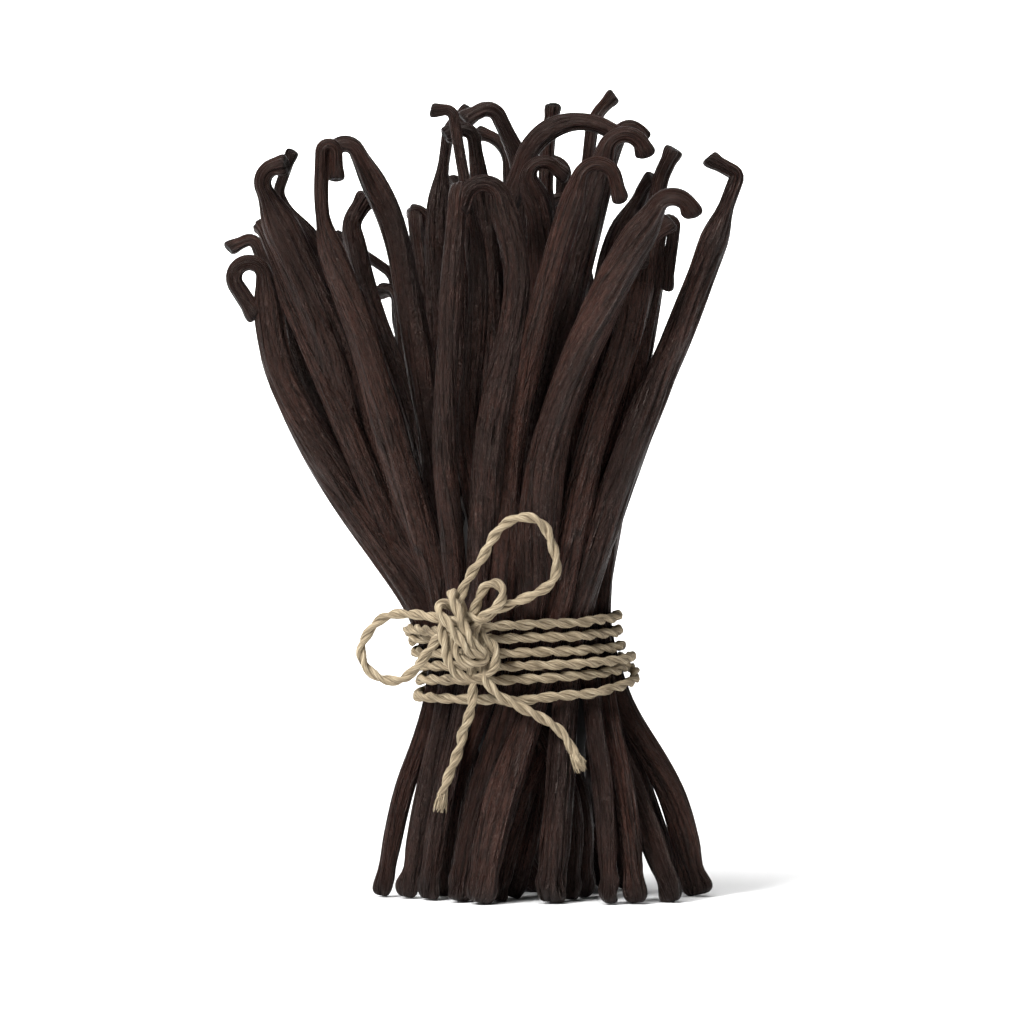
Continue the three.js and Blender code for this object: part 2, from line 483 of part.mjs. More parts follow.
// The knot: twice over the front from upper left to lower right, round the bottom to the left, and up behind.
const KNOT = [
  [-3.6, -21.2, 64.6], [-6.4, -20.8, 66.4], [-8.8, -21.4, 67.4], [-10, -23.2, 66.8], [-9.5, -25, 65],
  [-7.9, -25.8, 63.2], [-6.3, -26, 61], [-4.7, -25.9, 58.8], [-2.9, -25.4, 56.9], [-1, -24.2, 56.1],
  [0, -22.2, 57], [-1, -20.8, 59.4], [-3, -20.7, 62.8], [-4.8, -20.8, 66.4], [-6.2, -21.4, 69],
  [-7.1, -23, 70], [-7, -24.6, 69], [-6.2, -25.5, 67], [-5.2, -25.9, 64.4], [-4, -26, 61.8],
  [-2.8, -25.6, 59.4], [-1.4, -24.6, 57.8], [0.2, -23.6, 56.8], [0.1, -23.6, 55.2], [-2, -24, 54.2],
  [-4.4, -24.2, 54.6], [-6.2, -23.8, 56.4], [-6.8, -22.4, 59], [-7, -21.2, 62], [-8.2, -21, 64],
  [-9.3, -22, 62.6], [-9, -23.2, 59.6],
];
// The strand that comes out under the knot, swings below it and goes back behind.
const UNDER_KNOT = [
  [-8.3, -23.4, 56.6], [-7.5, -23.3, 53.9], [-5.9, -23, 51.9], [-3.8, -22.6, 50.9], [-1.5, -22.6, 50.7],
  [0.8, -22.9, 51.7], [2.4, -23, 53.8], [2.8, -22.7, 56.2], [1.8, -22, 58.4], [0, -20.8, 59.8],
];

function twineGeometry(points, steps) {
  const section = new Shape();
  for (let side = 0; side < TWINE_SIDES; side += 1) {
    const angle = ((side + 0.5) / TWINE_SIDES) * 2 * Math.PI;
    const corner = [(TWINE / 2) * Math.cos(angle), (TWINE / 2) * Math.sin(angle)];
    if (side === 0) section.moveTo(...corner);
    else section.lineTo(...corner);
  }
  section.closePath();
  const extrudePath = new CatmullRomCurve3(points);
  return new ExtrudeGeometry(section, { steps, bevelEnabled: false, extrudePath });
}

function twineSolid() {
  const loop = (route, steps) => twineGeometry(route.map((place) => new Vector3(...place)), steps);
  const windings = windingPoints();
  return outerBody(fuse([
    twineGeometry(windings, windings.length - 1),
    loop([...KNOT, ...UNDER_KNOT], 33),
    loop(TAIL_AND_BIG_LOOP, 22),
    loop(LEFT_LOOP, 14),
    loop(SMALL_LOOP_AND_TAIL, 18),
  ]));
}

const twine = twineSolid();

// ---------------------------------------------------------------- the object

const bundle = new Group();

const podMesh = new Mesh(
  toGeometry(pods),
  new MeshStandardMaterial({ color: 0x2e201b, roughness: 0.5, metalness: 0 }),
);
podMesh.name = 'pods';
bundle.add(podMesh);

const twineMesh = new Mesh(
  toGeometry(twine),
  new MeshStandardMaterial({ color: 0xc4b494, roughness: 0.85, metalness: 0 }),
);
twineMesh.name = 'twine';
bundle.add(twineMesh);

export default bundle;
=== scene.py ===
# %% [markdown]
# # A bundle of vanilla pods, tied with twine
# Some forty cured vanilla pods stand on their cut feet. Twine goes six times round the waist and ends
# in a bow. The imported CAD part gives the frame: metres, +Z up, the front towards -Y. Sizes below are in
# millimetres, and are turned into metres when a mesh is made.

# %% The frame and its box
from collections import namedtuple

import bpy
import numpy as np
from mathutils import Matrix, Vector


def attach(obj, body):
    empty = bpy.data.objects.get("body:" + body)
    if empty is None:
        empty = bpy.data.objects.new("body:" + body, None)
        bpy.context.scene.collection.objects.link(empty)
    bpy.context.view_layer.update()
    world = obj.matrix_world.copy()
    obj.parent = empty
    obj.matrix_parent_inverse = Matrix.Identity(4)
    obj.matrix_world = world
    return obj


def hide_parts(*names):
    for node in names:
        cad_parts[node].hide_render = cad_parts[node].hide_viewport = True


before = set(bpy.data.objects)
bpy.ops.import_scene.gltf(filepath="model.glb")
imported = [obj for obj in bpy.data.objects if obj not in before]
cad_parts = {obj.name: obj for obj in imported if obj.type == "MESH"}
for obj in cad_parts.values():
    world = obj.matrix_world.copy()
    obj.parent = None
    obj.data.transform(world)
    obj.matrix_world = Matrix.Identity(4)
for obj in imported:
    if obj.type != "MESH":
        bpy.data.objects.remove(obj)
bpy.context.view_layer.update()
MM = 0.001

# %% [markdown]
# ## The camera
# The picture is taken from straight ahead and slightly above, from so far away that the near and the far
# pods look the same size. A long lens at two metres gives that.

# %% Camera
SENSOR_WIDTH = 36
PICTURE_WIDTH = 230.4
CAMERA_AWAY = 2000
CAMERA_RISE = 3
LOOK_AT = (6.3, 0, 86.7)

rise = np.radians(CAMERA_RISE)
camera_data = bpy.data.cameras.new("camera")
camera_data.sensor_width = SENSOR_WIDTH
camera_data.lens = SENSOR_WIDTH * CAMERA_AWAY / PICTURE_WIDTH
camera_data.clip_end = 20
camera = bpy.data.objects.new("camera", camera_data)
camera.location = [MM * LOOK_AT[0], -MM * CAMERA_AWAY * np.cos(rise),
                   MM * (LOOK_AT[2] + CAMERA_AWAY * np.sin(rise))]
camera.rotation_euler = (np.radians(90 - CAMERA_RISE), 0, 0)
bpy.context.scene.collection.objects.link(camera)
bpy.context.scene.camera = camera
print("lens, mm:", round(camera_data.lens))

# %% [markdown]
# ## Small helpers
# Colours are written as they look on a screen, and turned into the linear values that a shader needs.
# `curve_through` is a centripetal Catmull-Rom curve, the same that bends the CAD solids: it passes
# through every point and never overshoots between two that lie close together.

# %% Helpers
def linear(screen, alpha=1.0):
    parts = [int(screen[i:i + 2], 16) / 255 for i in (1, 3, 5)]
    return [v / 12.92 if v <= 0.04045 else ((v + 0.055) / 1.055) ** 2.4 for v in parts] + [alpha]


def mix(a, b, share):
    return a + (b - a) * share


def smooth(share):
    share = np.clip(share, 0, 1)
    return share * share * (3 - 2 * share)


def unit(vector):
    return vector / np.linalg.norm(vector)


def curve_through(points, per_span=30):
    p = np.array(points, float)
    p = np.vstack([2 * p[0] - p[1], p, 2 * p[-1] - p[-2]])
    gap = np.sqrt(np.linalg.norm(np.diff(p, axis=0), axis=1))
    t = np.linspace(0, 1, per_span, endpoint=False)[:, None]
    spans = []
    for i in range(1, len(p) - 2):
        a, b, c = gap[i - 1:i + 2]
        leave = b * ((p[i] - p[i - 1]) / a - (p[i + 1] - p[i - 1]) / (a + b) + (p[i + 1] - p[i]) / b)
        arrive = b * ((p[i + 1] - p[i]) / b - (p[i + 2] - p[i]) / (b + c) + (p[i + 2] - p[i + 1]) / c)
        spans.append(p[i] * (2 * t**3 - 3 * t**2 + 1) + leave * (t**3 - 2 * t**2 + t)
                     + p[i + 1] * (3 * t**2 - 2 * t**3) + arrive * (t**3 - t**2))
    return np.vstack(spans + [p[-2:-1]])


def lengths_along(line):
    return np.concatenate([[0], np.cumsum(np.linalg.norm(np.diff(line, axis=0), axis=1))])


def at_lengths(line, wanted):
    measured = lengths_along(line)
    return np.column_stack([np.interp(wanted, measured, line[:, k]) for k in range(3)])


print("helpers ready")

# %% [markdown]
# ## Where every pod goes
# Each pod has a place in the waist (a ring and a slot in it), a foot on the floor, one to three places
# that its body passes through, a neck where the thin stalk begins to bend, and a crook: the stalk turns
# towards the compass angle `aim` (0 right, 90 back, 180 left) on `radius` through `turn` degrees and
# ends in a straight `tail`. `width` is across the fleshy body, `stalk` across the neck, and `slim` is how
# far the thin part reaches back from the end. Where the lower part shows, `leg` gives the place of the
# shin and its width; other pods go straight from the foot to the waist.

# %% The pods
Pod = namedtuple("Pod", "ring slot foot via neck width stalk slim crook leg", defaults=[None])
PODS = [Pod(*row) for row in (
    # left side, from the outside in
    (0, 10, (3, 14), ((-31.8, -2, 92), (-45.8, -4, 119),), (-49.3, -4, 140),
     6.8, 3.6, 18, (180, 3.4, 205, 8)),
    (1, 7, (8, 20), ((-34.4, 3, 103),), (-51, 4, 146.5),
     5.8, 3, 12, (180, 2, 95, 4.4)),
    (0, 9, (13.7, 10), ((-28.6, -7, 101),), (-48.6, -8, 148.5),
     5.8, 2.8, 10, (100, 2, 60, 3)),
    (1, 6, (18.9, 3), ((-26, -4, 103), (-35, -10, 128),), (-49, -13, 159.5),
     8.8, 3.8, 9, (0, 3.6, 105, 2.6)),
    (0, 8, (24, 22), ((-24, 8, 103), (-38.2, 2, 143),), (-45.5, 0, 157),
     7.6, 2.5, 13, (0, 4, 47, 8.5)),
    (0, 11, (-23.6, -3), ((-20.7, -14, 103.5), (-27.4, -18, 128), (-35.7, -20, 153),), (-35.9, -21, 168),
     6.7, 3.2, 25, (0, 1.5, 178, 6.5), (-18.6, -3.4, 4.4)),
    (1, 5, (22.7, 14), ((-11.5, -4, 103.5), (-15.6, -8, 128), (-20.8, -10, 152.5),), (-28.3, -12, 168),
     6.4, 3.8, 9, (180, 2.9, 150, 2)),
    (0, 7, (30, 17), ((-15, 10, 103.5), (-27, 12, 137),), (-29.7, 12, 149),
     5.4, 4.4, 5, (0, 6, 45, 5)),
    (0, 6, (12, 25), ((-13.3, 18, 108),), (-20.5, 20, 138),
     5, 2.2, 18, (180, 5, 42, 14)),
    # middle, front to back
    (0, 12, (-17.8, -6), ((-8.8, -19, 103.5), (-7.6, -23, 130),), (-5.9, -25, 157.3),
     4.8, 4.2, 4, (80, 2, 110, 2.5), (-13.2, -7, 5.2)),
    (0, 13, (-13.2, -10), ((1.4, -19, 103.5), (7.4, -23, 140),), (3.8, -24.5, 158),
     6.4, 3.4, 9, (180, 3.9, 145, 4), (-9.4, -10.5, 5)),
    (1, 8, (-7, 10), ((-3.6, -14, 103.5), (-1.2, -19, 138),), (-6.6, -15, 175.5),
     4.6, 2.6, 26, (180, 2, 85, 3.2)),
    (2, 3, (5, 21), ((2.4, -3, 103.5), (1.4, -7, 140),), (-2.1, -9, 170.5),
     4.6, 3.3, 9, (180, 2.6, 105, 3.5)),
    (2, 4, (10, 14), ((6, 1, 103.5), (4.5, -6, 151),), (9, -8, 165.5),
     5, 3.6, 9, (0, 13, 115, 1)),
    (2, 5, (22.3, -6), ((11, -5, 103.5), (12.4, -12, 154),), (10.1, -13, 161.2),
     6.6, 3, 8, (0, 3.4, 150, 4), (21.6, -7, 4.8)),
    (2, 2, (-8, 16), ((5, 7, 103.5), (10, 5, 150), (8.4, 4, 164),), (3.4, 2, 175.5),
     5.4, 3.6, 13, (180, 3, 95, 4.5)),
    (2, 1, (-10, 20), ((13, 5, 103.5), (13.6, 4, 150),), (14.2, 4, 167.4),
     5.6, 3.2, 18, (0, 20, 6, 9)),
    (1, 3, (16, 24), ((-7, 13, 103.5), (-10.8, 15, 148),), (-8.3, 15, 171),
     5.2, 2.8, 14, (0, 5, 42, 4.5)),
    (1, 4, (-5, 25), ((-9.9, 21, 103.5),), (-15.5, 24, 150),
     6.2, 3.4, 9, (90, 3, 70, 3)),
    (0, 5, (8, 27), ((-8.4, 22, 103.5),), (-13.3, 26.5, 152),
     5.6, 2.6, 13, (180, 2, 82, 2)),
    (0, 4, (-1, 27), ((7, 21, 103.5),), (5.6, 25, 164.5),
     5, 3, 18, (180, 7, 74, 2.5)),
    # right side, from the middle out
    (0, 14, (-10.1, -3), ((6.3, -17, 103.5), (13.4, -24, 135),), (21.4, -26, 162.5),
     6, 3.2, 13, (0, 4, 150, 5.5), (-7, -6, 3.8)),
    (1, 9, (18.8, -12), ((12.6, -7, 103.5), (19.8, -14, 137),), (27.4, -16, 168.5),
     6.8, 3.8, 9, (0, 4.2, 142, 2.5), (19.4, -11, 4.8)),
    (2, 0, (0, 12), ((18, 0, 103.5), (21.3, -5, 146),), (30.2, -6, 171.5),
     5, 3.8, 10, (0, 2.5, 130, 2)),
    (1, 2, (-2, 20), ((17, 12, 103.5), (21.6, 11, 150),), (24.2, 10, 172),
     5.2, 3, 22, (0, 10, 36, 4)),
    (0, 18, (28.3, -21), ((23.9, 4, 103.5), (23, 6, 130),), (21.5, 5, 150),
     5, 3, 10, (90, 3, 60, 4), (27, -17, 4.6)),
    (1, 0, (43.8, -17), ((24, 2, 103.5), (29.6, 0, 144),), (35.6, -3, 158.6),
     7.2, 4, 5, (0, 6, 20, 2.5), (34.4, -9, 5.6)),
    (0, 15, (-6.3, -15), ((14.9, -19, 103.5), (27.8, -25, 137),), (38.4, -28, 156),
     8.2, 4.3, 9, (0, 4, 125, 2.2), (-1.4, -14.5, 6)),
    (1, 11, (1.8, -13), ((20, -9, 103.5), (29, -17, 136),), (32, -19, 142),
     6, 3.2, 12, (0, 3, 60, 2), (7.6, -12, 6)),
    (0, 16, (-2, -20), ((24.3, -15, 103.5), (31.7, -17, 126),), (37.2, -18, 148),
     6.2, 3.6, 8, (0, 4, 40, 4), (3.6, -17.5, 7.2)),
    (1, 10, (6, -7), ((30.6, -10, 103.5), (36.2, -13, 131),), (39.8, -14, 151.5),
     5.6, 2.7, 21, (0, 1.4, 178, 14), (11.6, -9, 4.8)),
    (0, 19, (34.3, -20), ((29, -5, 103.5), (33.6, -7, 132),), (39.3, -7, 160.6),
     6.2, 3.6, 12, (0, 14, 15, 5), (31.7, -14, 5.2)),
    (0, 17, (14.4, -18), ((33.6, -14, 103.5), (45, -13, 131),), (56.3, -12, 161.5),
     6.8, 3.3, 14, (180, 1.6, 82, 6.4), (16.7, -16, 6.8)),
    (0, 0, (48.6, -1), ((31, 3, 103.5),), (36, 10, 148),
     6.4, 3.2, 11, (90, 4, 80, 3), (42.6, -1, 6.4)),
    (0, 1, (45.5, 4), ((26, 15, 103.5),), (33, 21, 146),
     6, 3, 14, (60, 3.4, 120, 3), (36.6, 4, 4.2)),
    (0, 2, (34, 17), ((21, 19, 100),), (25, 25, 130),
     6.4, 3.2, 14, (30, 3, 140, 3)),
    (0, 3, (24, 27), ((13, 21, 100),), (12, 25.5, 150),
     6.2, 3, 14, (150, 4, 110, 3)),
    (1, 1, (20, 22), ((15, 17, 104),), (18, 19, 162.5),
     5.4, 3.4, 15, (180, 2, 85, 2)),
    # behind, showing only between the others
    (1, 3.5, (1, 22), ((-3.6, 14, 103.5),), (-5.4, 18, 158),
     6, 3, 12, (120, 3, 100, 3)),
    (1, 2.5, (6, 20), ((2.4, 12, 103.5),), (2.8, 15, 146),
     6, 3, 10, (60, 3, 80, 2)),
    (1, 1.5, (13, 23), ((13, 9, 103.5),), (14.2, 12, 154),
     6, 3, 12, (20, 3, 90, 3)),
    (1, 4.5, (16, 18), ((-13, 9, 103.5),), (-19.5, 15, 134),
     6.2, 3, 10, (130, 3, 80, 3)),
)]
WAIST_Z, WAIST_HALF, WAIST_X = 55, 9.5, 8.3
WAIST_RINGS = ((20, 18.8, 13.2), (12, 13, 8.2), (6, 6.2, 3.0))
WAIST_SQUEEZE = 0.86
FLATNESS = 0.74
print(len(PODS), "pods")

# %% [markdown]
# ## The line of one pod
# The body is one smooth curve from the foot through the waist to the neck. Just above and below the tie
# it follows its own lean, so that it passes the twine almost straight. The crook is an arc in the plane
# of the neck's heading and the direction it turns to.

# %% Lines of the pods
CUT_BELOW = 3
SHIN_Z, SHIN_SHARE = 22, 0.36
SPREAD = 0.7
ARC_STEPS = 40


def waist_place(pod):
    count, across, deep = WAIST_RINGS[pod.ring]
    angle = 2 * np.pi * pod.slot / count
    return np.array([WAIST_X + across * np.cos(angle), deep * np.sin(angle), WAIST_Z])


def pod_line(pod):
    foot = np.array([*pod.foot, -CUT_BELOW], float)
    waist = waist_place(pod)
    above = np.array(pod.via[0])
    lean = (above - foot) / (above[2] + CUT_BELOW)
    below_tie = waist - mix(lean, (waist - foot) / (WAIST_Z + CUT_BELOW), SPREAD) * WAIST_HALF
    shin = mix(foot, waist, SHIN_SHARE) if pod.leg is None else np.array([*pod.leg[:2], 0])
    shin[2] = SHIN_Z
    body = curve_through([foot, shin, below_tie, waist + lean * WAIST_HALF, *pod.via, pod.neck])
    ahead = unit(body[-1] - body[-2])
    aim, radius, turn, tail = pod.crook
    aside = np.array([np.cos(np.radians(aim)), np.sin(np.radians(aim)), 0])
    aside = unit(aside - ahead * aside.dot(ahead))
    bend = np.radians(np.linspace(0, turn, ARC_STEPS))[1:, None]
    arc = body[-1] + ahead * radius * np.sin(bend) + aside * radius * (1 - np.cos(bend))
    heading = ahead * np.cos(bend[-1]) + aside * np.sin(bend[-1])
    return np.vstack([body, arc, arc[-1] + heading * tail]), lengths_along(body)[-1]


print("longest pod, mm:", round(max(lengths_along(pod_line(pod)[0])[-1] for pod in PODS)))

# %% [markdown]
# ## The shape of one pod
# A cured pod is a flattened, shrunken tube: fat in the middle, drawn in at the neck, with a knob where it
# was picked. Where it dried it folded lengthwise: rounded ridges with sharp grooves between them, in three
# sizes. `FOLDS` says how many of each go round a pod, how deep they are in millimetres, and how dark the
# painted shade in their grooves is. They wander slowly along the pod, and every pod draws its own from a
# fixed seed. The foot is a little slimmer than the body, with a bulge just above the cut, and there and at
# the picked end the skin is lumpy. The rings of vertices lie close together in the crook and at both ends.

# %% Skin of the pods
SEED = 11
AROUND = 72
BODY_RING, CROOK_RING = 2.0, 0.6
FOOT_RINGS = np.array([0, 0.12, 0.35, 0.7, 1.2, 1.8, 2.5, 3.3, 4.2, 5.3])
END_RINGS = np.array([2.4, 1.7, 1.1, 0.65, 0.35, 0.15, 0])
FOLDS = (((3, 4, 5), 0.5, 0.35), ((7, 8, 9, 10), 0.42, 0.85), ((15, 17, 19), 0.34, 0.85))
FOOT_SLIM, FOOT_RISE = 0.8, 11
BULGE, BULGE_AT, BULGE_REACH = 0.17, 3, 2.4
BELLY_BELOW, BELLY_ABOVE = 1.12, 0.96
NECK_RISE = 10
KNOB, KNOB_LONG = 0.22, 3.4
LUMP_DEPTH, LUMPS_UP, LUMPS_DOWN, PICKED_SHARE = 0.6, 12, 5, 0.12
DARK_FOOT, DARK_END = 7, 2.5


def flat_way(number):
    """The pods lie with their flat side roughly to the front, each turned a little differently."""
    turned = np.radians(24) * np.sin(2.4 * number)
    return np.array([np.cos(turned), np.sin(turned), 0])


def wander(draw, along, shortest, longest):
    """A slow random wave along the pod, about -1 to 1."""
    waves = [np.sin(2 * np.pi * (along / draw.uniform(shortest, longest) + draw.uniform()))
             for _ in range(3)]
    return sum(waves) / 1.8


def pod_width(pod, from_foot, from_end, height):
    foot = mix(FOOT_SLIM, 1, smooth((from_foot - BULGE_AT) / FOOT_RISE))
    foot = foot + BULGE * np.exp(-((from_foot - BULGE_AT) / BULGE_REACH) ** 2)
    body = mix(pod.stalk / pod.width, 1, smooth((from_end - pod.slim) / NECK_RISE))
    squeeze = mix(WAIST_SQUEEZE, 1, smooth((abs(height - WAIST_Z) - WAIST_HALF) / 20))
    belly = mix(BELLY_BELOW, BELLY_ABOVE, smooth((height - 85) / 65))
    if pod.leg:
        belly = mix(pod.leg[2] / pod.width, belly, smooth((height - 30) / 45))
    knob = 1 + KNOB * smooth((KNOB_LONG - from_end) / 2.4)
    return pod.width * np.minimum(foot, body) * belly * squeeze * knob


def ring_axes(line, along, whole, number):
    """Three directions at every ring: ahead along the pod, sideways on its flat side, and across that."""
    before = at_lengths(line, np.maximum(along - 0.5, 0))
    ahead = at_lengths(line, np.minimum(along + 0.5, whole)) - before
    ahead /= np.linalg.norm(ahead, axis=1)[:, None]
    side = flat_way(number)
    sideways = []
    for way in ahead:
        side = unit(side - way * side.dot(way))
        sideways.append(side)
    return ahead, np.array(sideways), np.cross(sideways, ahead)


def folds(draw, along, angle):
    """How deep the skin is folded in at every vertex, in millimetres, and how dark the painted shade in the
    fold is, 0 to 1.
    """
    dryness = draw.uniform(0.65, 1.35)
    fold, crease = np.zeros((len(along), AROUND)), np.zeros((len(along), AROUND))
    for lobes, depth, dark in FOLDS:
        count = draw.choice(lobes)
        drift = draw.uniform(0, np.pi) + 0.6 * wander(draw, along, 25, 80)
        strength = 0.65 + 0.35 * wander(draw, along, 12, 40)
        groove = 1 - abs(np.sin(count * angle / 2 + drift[:, None]))
        fold += (depth * strength)[:, None] * groove ** 2
        crease += (dark * strength)[:, None] * groove ** 4
    return fold * dryness, np.clip(crease * dryness, 0, 1)


def lumps(draw, along, angle):
    waves = [np.sin(n * angle + draw.uniform(0, 6) + along[:, None] * draw.uniform(-1, 1)) / n ** 0.7
             for n in (1, 2, 3, 5)]
    return sum(waves)


def rounded(distance, over, least):
    """A quarter round: `least` at the very end, and 1 from `over` millimetres on."""
    share = np.minimum(1, distance / over)
    return mix(least, 1, np.sqrt(1 - (1 - share) ** 2))


def pod_skin(pod, number):
    """The vertices of one pod in rings, and for each of them its painted fold shade, grain, end and share of
    the way.
    """
    draw = np.random.default_rng(SEED + number)
    line, to_neck = pod_line(pod)
    whole = lengths_along(line)[-1]
    floor_at = lengths_along(line)[np.argmax(line[:, 2] > 0.2)]
    along = np.concatenate([floor_at + FOOT_RINGS, np.arange(floor_at + 6.5, to_neck - 4, BODY_RING),
                            np.arange(to_neck - 4, whole - 2.8, CROOK_RING), whole - END_RINGS])
    from_foot, from_end = along - floor_at, whole - along
    centre = at_lengths(line, along)
    ahead, sideways, deep = ring_axes(line, along, whole, number)

    wide = pod_width(pod, from_foot, from_end, centre[:, 2]) / 2
    wide *= 1 + 0.045 * wander(draw, along, 25, 70)
    round_stalk = smooth((pod.slim - from_end) / NECK_RISE + 1)
    thick = wide * mix(FLATNESS, 1, round_stalk) * (1 + 0.05 * wander(draw, along, 25, 70))
    twist = 0.35 * wander(draw, along, 90, 200)

    angle = np.linspace(0, 2 * np.pi, AROUND, endpoint=False)[None, :]
    fold, crease = folds(draw, along, angle)
    near_ends = PICKED_SHARE * smooth(1 - from_end / LUMPS_DOWN) + smooth(1 - from_foot / LUMPS_UP)
    fold = fold + LUMP_DEPTH * lumps(draw, along, angle) * near_ends[:, None]
    size = (wide / 3.5 * mix(1, 1.5, round_stalk))[:, None]
    shrink = (fold - fold.mean()) * size
    round_end = rounded(from_end, 0.8, 0.6) * rounded(from_foot, 1.5, 0.45)
    spread = angle + twist[:, None]
    out = ((wide * round_end)[:, None] - shrink) * np.cos(spread)
    back = ((thick * round_end)[:, None] - shrink) * np.sin(spread)
    skin = centre[:, None, :] + sideways[:, None, :] * out[..., None] + deep[:, None, :] * back[..., None]

    cut = draw.uniform(0.1, 0.45) * np.cos(angle + draw.uniform(0, 6)) * smooth(1 - from_end / 3)[:, None]
    skin += ahead[:, None, :] * (cut * (wide / 1.5)[:, None])[..., None]
    skin[..., 2] = np.maximum(skin[..., 2], 0)
    girth = pod.width * 0.45
    unrolled = np.broadcast_arrays(girth * np.cos(angle), girth * np.sin(angle), along[:, None])
    grain = np.stack(unrolled, axis=-1) + draw.uniform(-200, 200, 3)
    end = np.maximum(0, np.maximum(1 - from_end / DARK_END, 1 - from_foot / DARK_FOOT))
    return skin, crease, grain, np.broadcast_to(end[:, None], crease.shape), along / whole


skin = pod_skin(PODS[3], 3)[0]
print("one pod:", skin.shape[0], "rings,", 2 * skin.shape[0] * AROUND, "triangles")

# %% [markdown]
# ## Pods as joined meshes
# Forty pods as one mesh would be too heavy for one piece, so they go into four pieces: left, front and
# middle, right, and back. Each vertex keeps what the finish needs: the painted shade in the folds (how
# dark the groove is), `grain` (the place on the skin unrolled, in millimetres, so that patterns are as large
# on every pod), `end` (1 at both ends) and `tone` (one random number a pod). Each pod has its own strip of
# the UV map.

# %% Joining them
TIP_DENT = 0.3


def close_skin(rings):
    """Faces of a tube of rings with a fan at both ends, and the two centre points of the fans."""
    rows, around = rings.shape[:2]
    grid = np.arange(rows * around).reshape(rows, around)
    after = np.roll(grid, -1, axis=1)
    quads = np.stack([grid[:-1], after[:-1], after[1:], grid[1:]], axis=-1).reshape(-1, 4)
    foot, tip = rows * around, rows * around + 1
    fans = [(foot, after[0, j], grid[0, j]) for j in range(around)]
    fans += [(tip, grid[-1, j], after[-1, j]) for j in range(around)]
    return quads, fans


def strip_uv(rows, around, share, strip, strips):
    """UV corners for the same faces: one strip of the map for each tube."""
    step = np.arange(around + 1) / around
    left = (strip + 0.04 + 0.92 * step) / strips
    up = 0.02 + 0.96 * share
    corner = np.stack(np.meshgrid(up, left, indexing="ij")[::-1], axis=-1)
    quads = np.stack([corner[:-1, :-1], corner[:-1, 1:], corner[1:, 1:], corner[1:, :-1]], axis=-2)
    middle = (strip + 0.5) / strips
    fans = [((middle, 0.008), corner[0, j + 1], corner[0, j]) for j in range(around)]
    fans += [((middle, 0.992), corner[-1, j], corner[-1, j + 1]) for j in range(around)]
    return np.vstack([quads.reshape(-1, 2), np.array(fans).reshape(-1, 2)])


def make_mesh(name, points, faces, uv=None, **values):
    mesh = bpy.data.meshes.new(name)
    mesh.from_pydata(np.asarray(points) * MM, [], faces)
    for key, data in values.items():
        kind = "FLOAT_VECTOR" if data.ndim == 2 else "FLOAT"
        layer = mesh.attributes.new(key, kind, "POINT")
        layer.data.foreach_set("vector" if data.ndim == 2 else "value", data.astype("f").ravel())
    if uv is not None:
        mesh.uv_layers.new(name="OFBake").data.foreach_set("uv", uv.astype("f").ravel())
    mesh.shade_smooth()
    piece = bpy.data.objects.new(name, mesh)
    bpy.context.scene.collection.objects.link(piece)
    return piece


def join_pods(name, numbers):
    parts = dict(points=[], faces=[], uv=[], crease=[], grain=[], end=[], tone=[])
    base = 0
    for strip, number in enumerate(numbers):
        rings, crease, grain, end, share = pod_skin(PODS[number], number)
        quads, fans = close_skin(rings)
        foot, tip = rings[0].mean(axis=0), rings[-1].mean(axis=0)
        tip = tip - TIP_DENT * unit(tip - rings[-3].mean(axis=0))
        parts["points"] += [rings.reshape(-1, 3), [foot, tip]]
        parts["faces"] += [tuple(f) for f in quads + base] + [tuple(v + base for v in f) for f in fans]
        parts["uv"].append(strip_uv(*crease.shape, share, strip, len(numbers)))
        parts["crease"].append(np.append(crease, [0.3, 0.3]))
        parts["end"].append(np.append(end, [0.3, 1.0]))
        parts["grain"].append(np.vstack([grain.reshape(-1, 3), grain[0].mean(0), grain[-1].mean(0)]))
        tone = np.random.default_rng(SEED * 7 + number).uniform()
        parts["tone"].append(np.full(crease.size + 2, tone))
        base += crease.size + 2
    piece = make_mesh(name, np.vstack(parts["points"]), parts["faces"], np.vstack(parts["uv"]),
                      crease=np.concatenate(parts["crease"]), end=np.concatenate(parts["end"]),
                      grain=np.vstack(parts["grain"]), tone=np.concatenate(parts["tone"]))
    print(name, len(numbers), "pods,", sum(len(f) - 2 for f in parts["faces"]), "triangles")
    return piece


MIDDLE_FROM, RIGHT_FROM, BACK_FROM = 9, 20, 31
pod_pieces = [
    join_pods("pods_left", range(MIDDLE_FROM)),
    join_pods("pods_middle", range(MIDDLE_FROM, RIGHT_FROM)),
    join_pods("pods_right", range(RIGHT_FROM, BACK_FROM)),
    join_pods("pods_back", range(BACK_FROM, len(PODS))),
]

# %% [markdown]
# ## The dark middle
# Between the pods nothing is lit. A plain core, a little slimmer than the bundle, closes the waist so
# that no light shines through the tie; its near-black colour is painted shade. Each row of `CORE` is a
# height, the middle from left to right, and half the width and half the depth there.

# %% Core
CORE_SIDES = 48
CORE = ((12, 14, 7, 4), (30, 11, 11, 8), (46, 8.3, 16.5, 10.5),
        (66, 8.3, 16.5, 10.5), (78, 7.5, 13, 9), (98, 6, 8, 5))
turn = np.linspace(0, 2 * np.pi, CORE_SIDES, endpoint=False)
core_rings = np.array([[(x + wide * np.cos(t), deep * np.sin(t), z) for t in turn]
                       for z, x, wide, deep in CORE])
core_quads, core_fans = close_skin(core_rings)
core_ends = [(x, 0, z) for z, x, wide, deep in (CORE[0], CORE[-1])]
core_points = np.vstack([core_rings.reshape(-1, 3), core_ends])
core = make_mesh("dark_core", core_points, [tuple(f) for f in core_quads] + core_fans)
print("core:", len(core.data.polygons), "faces")

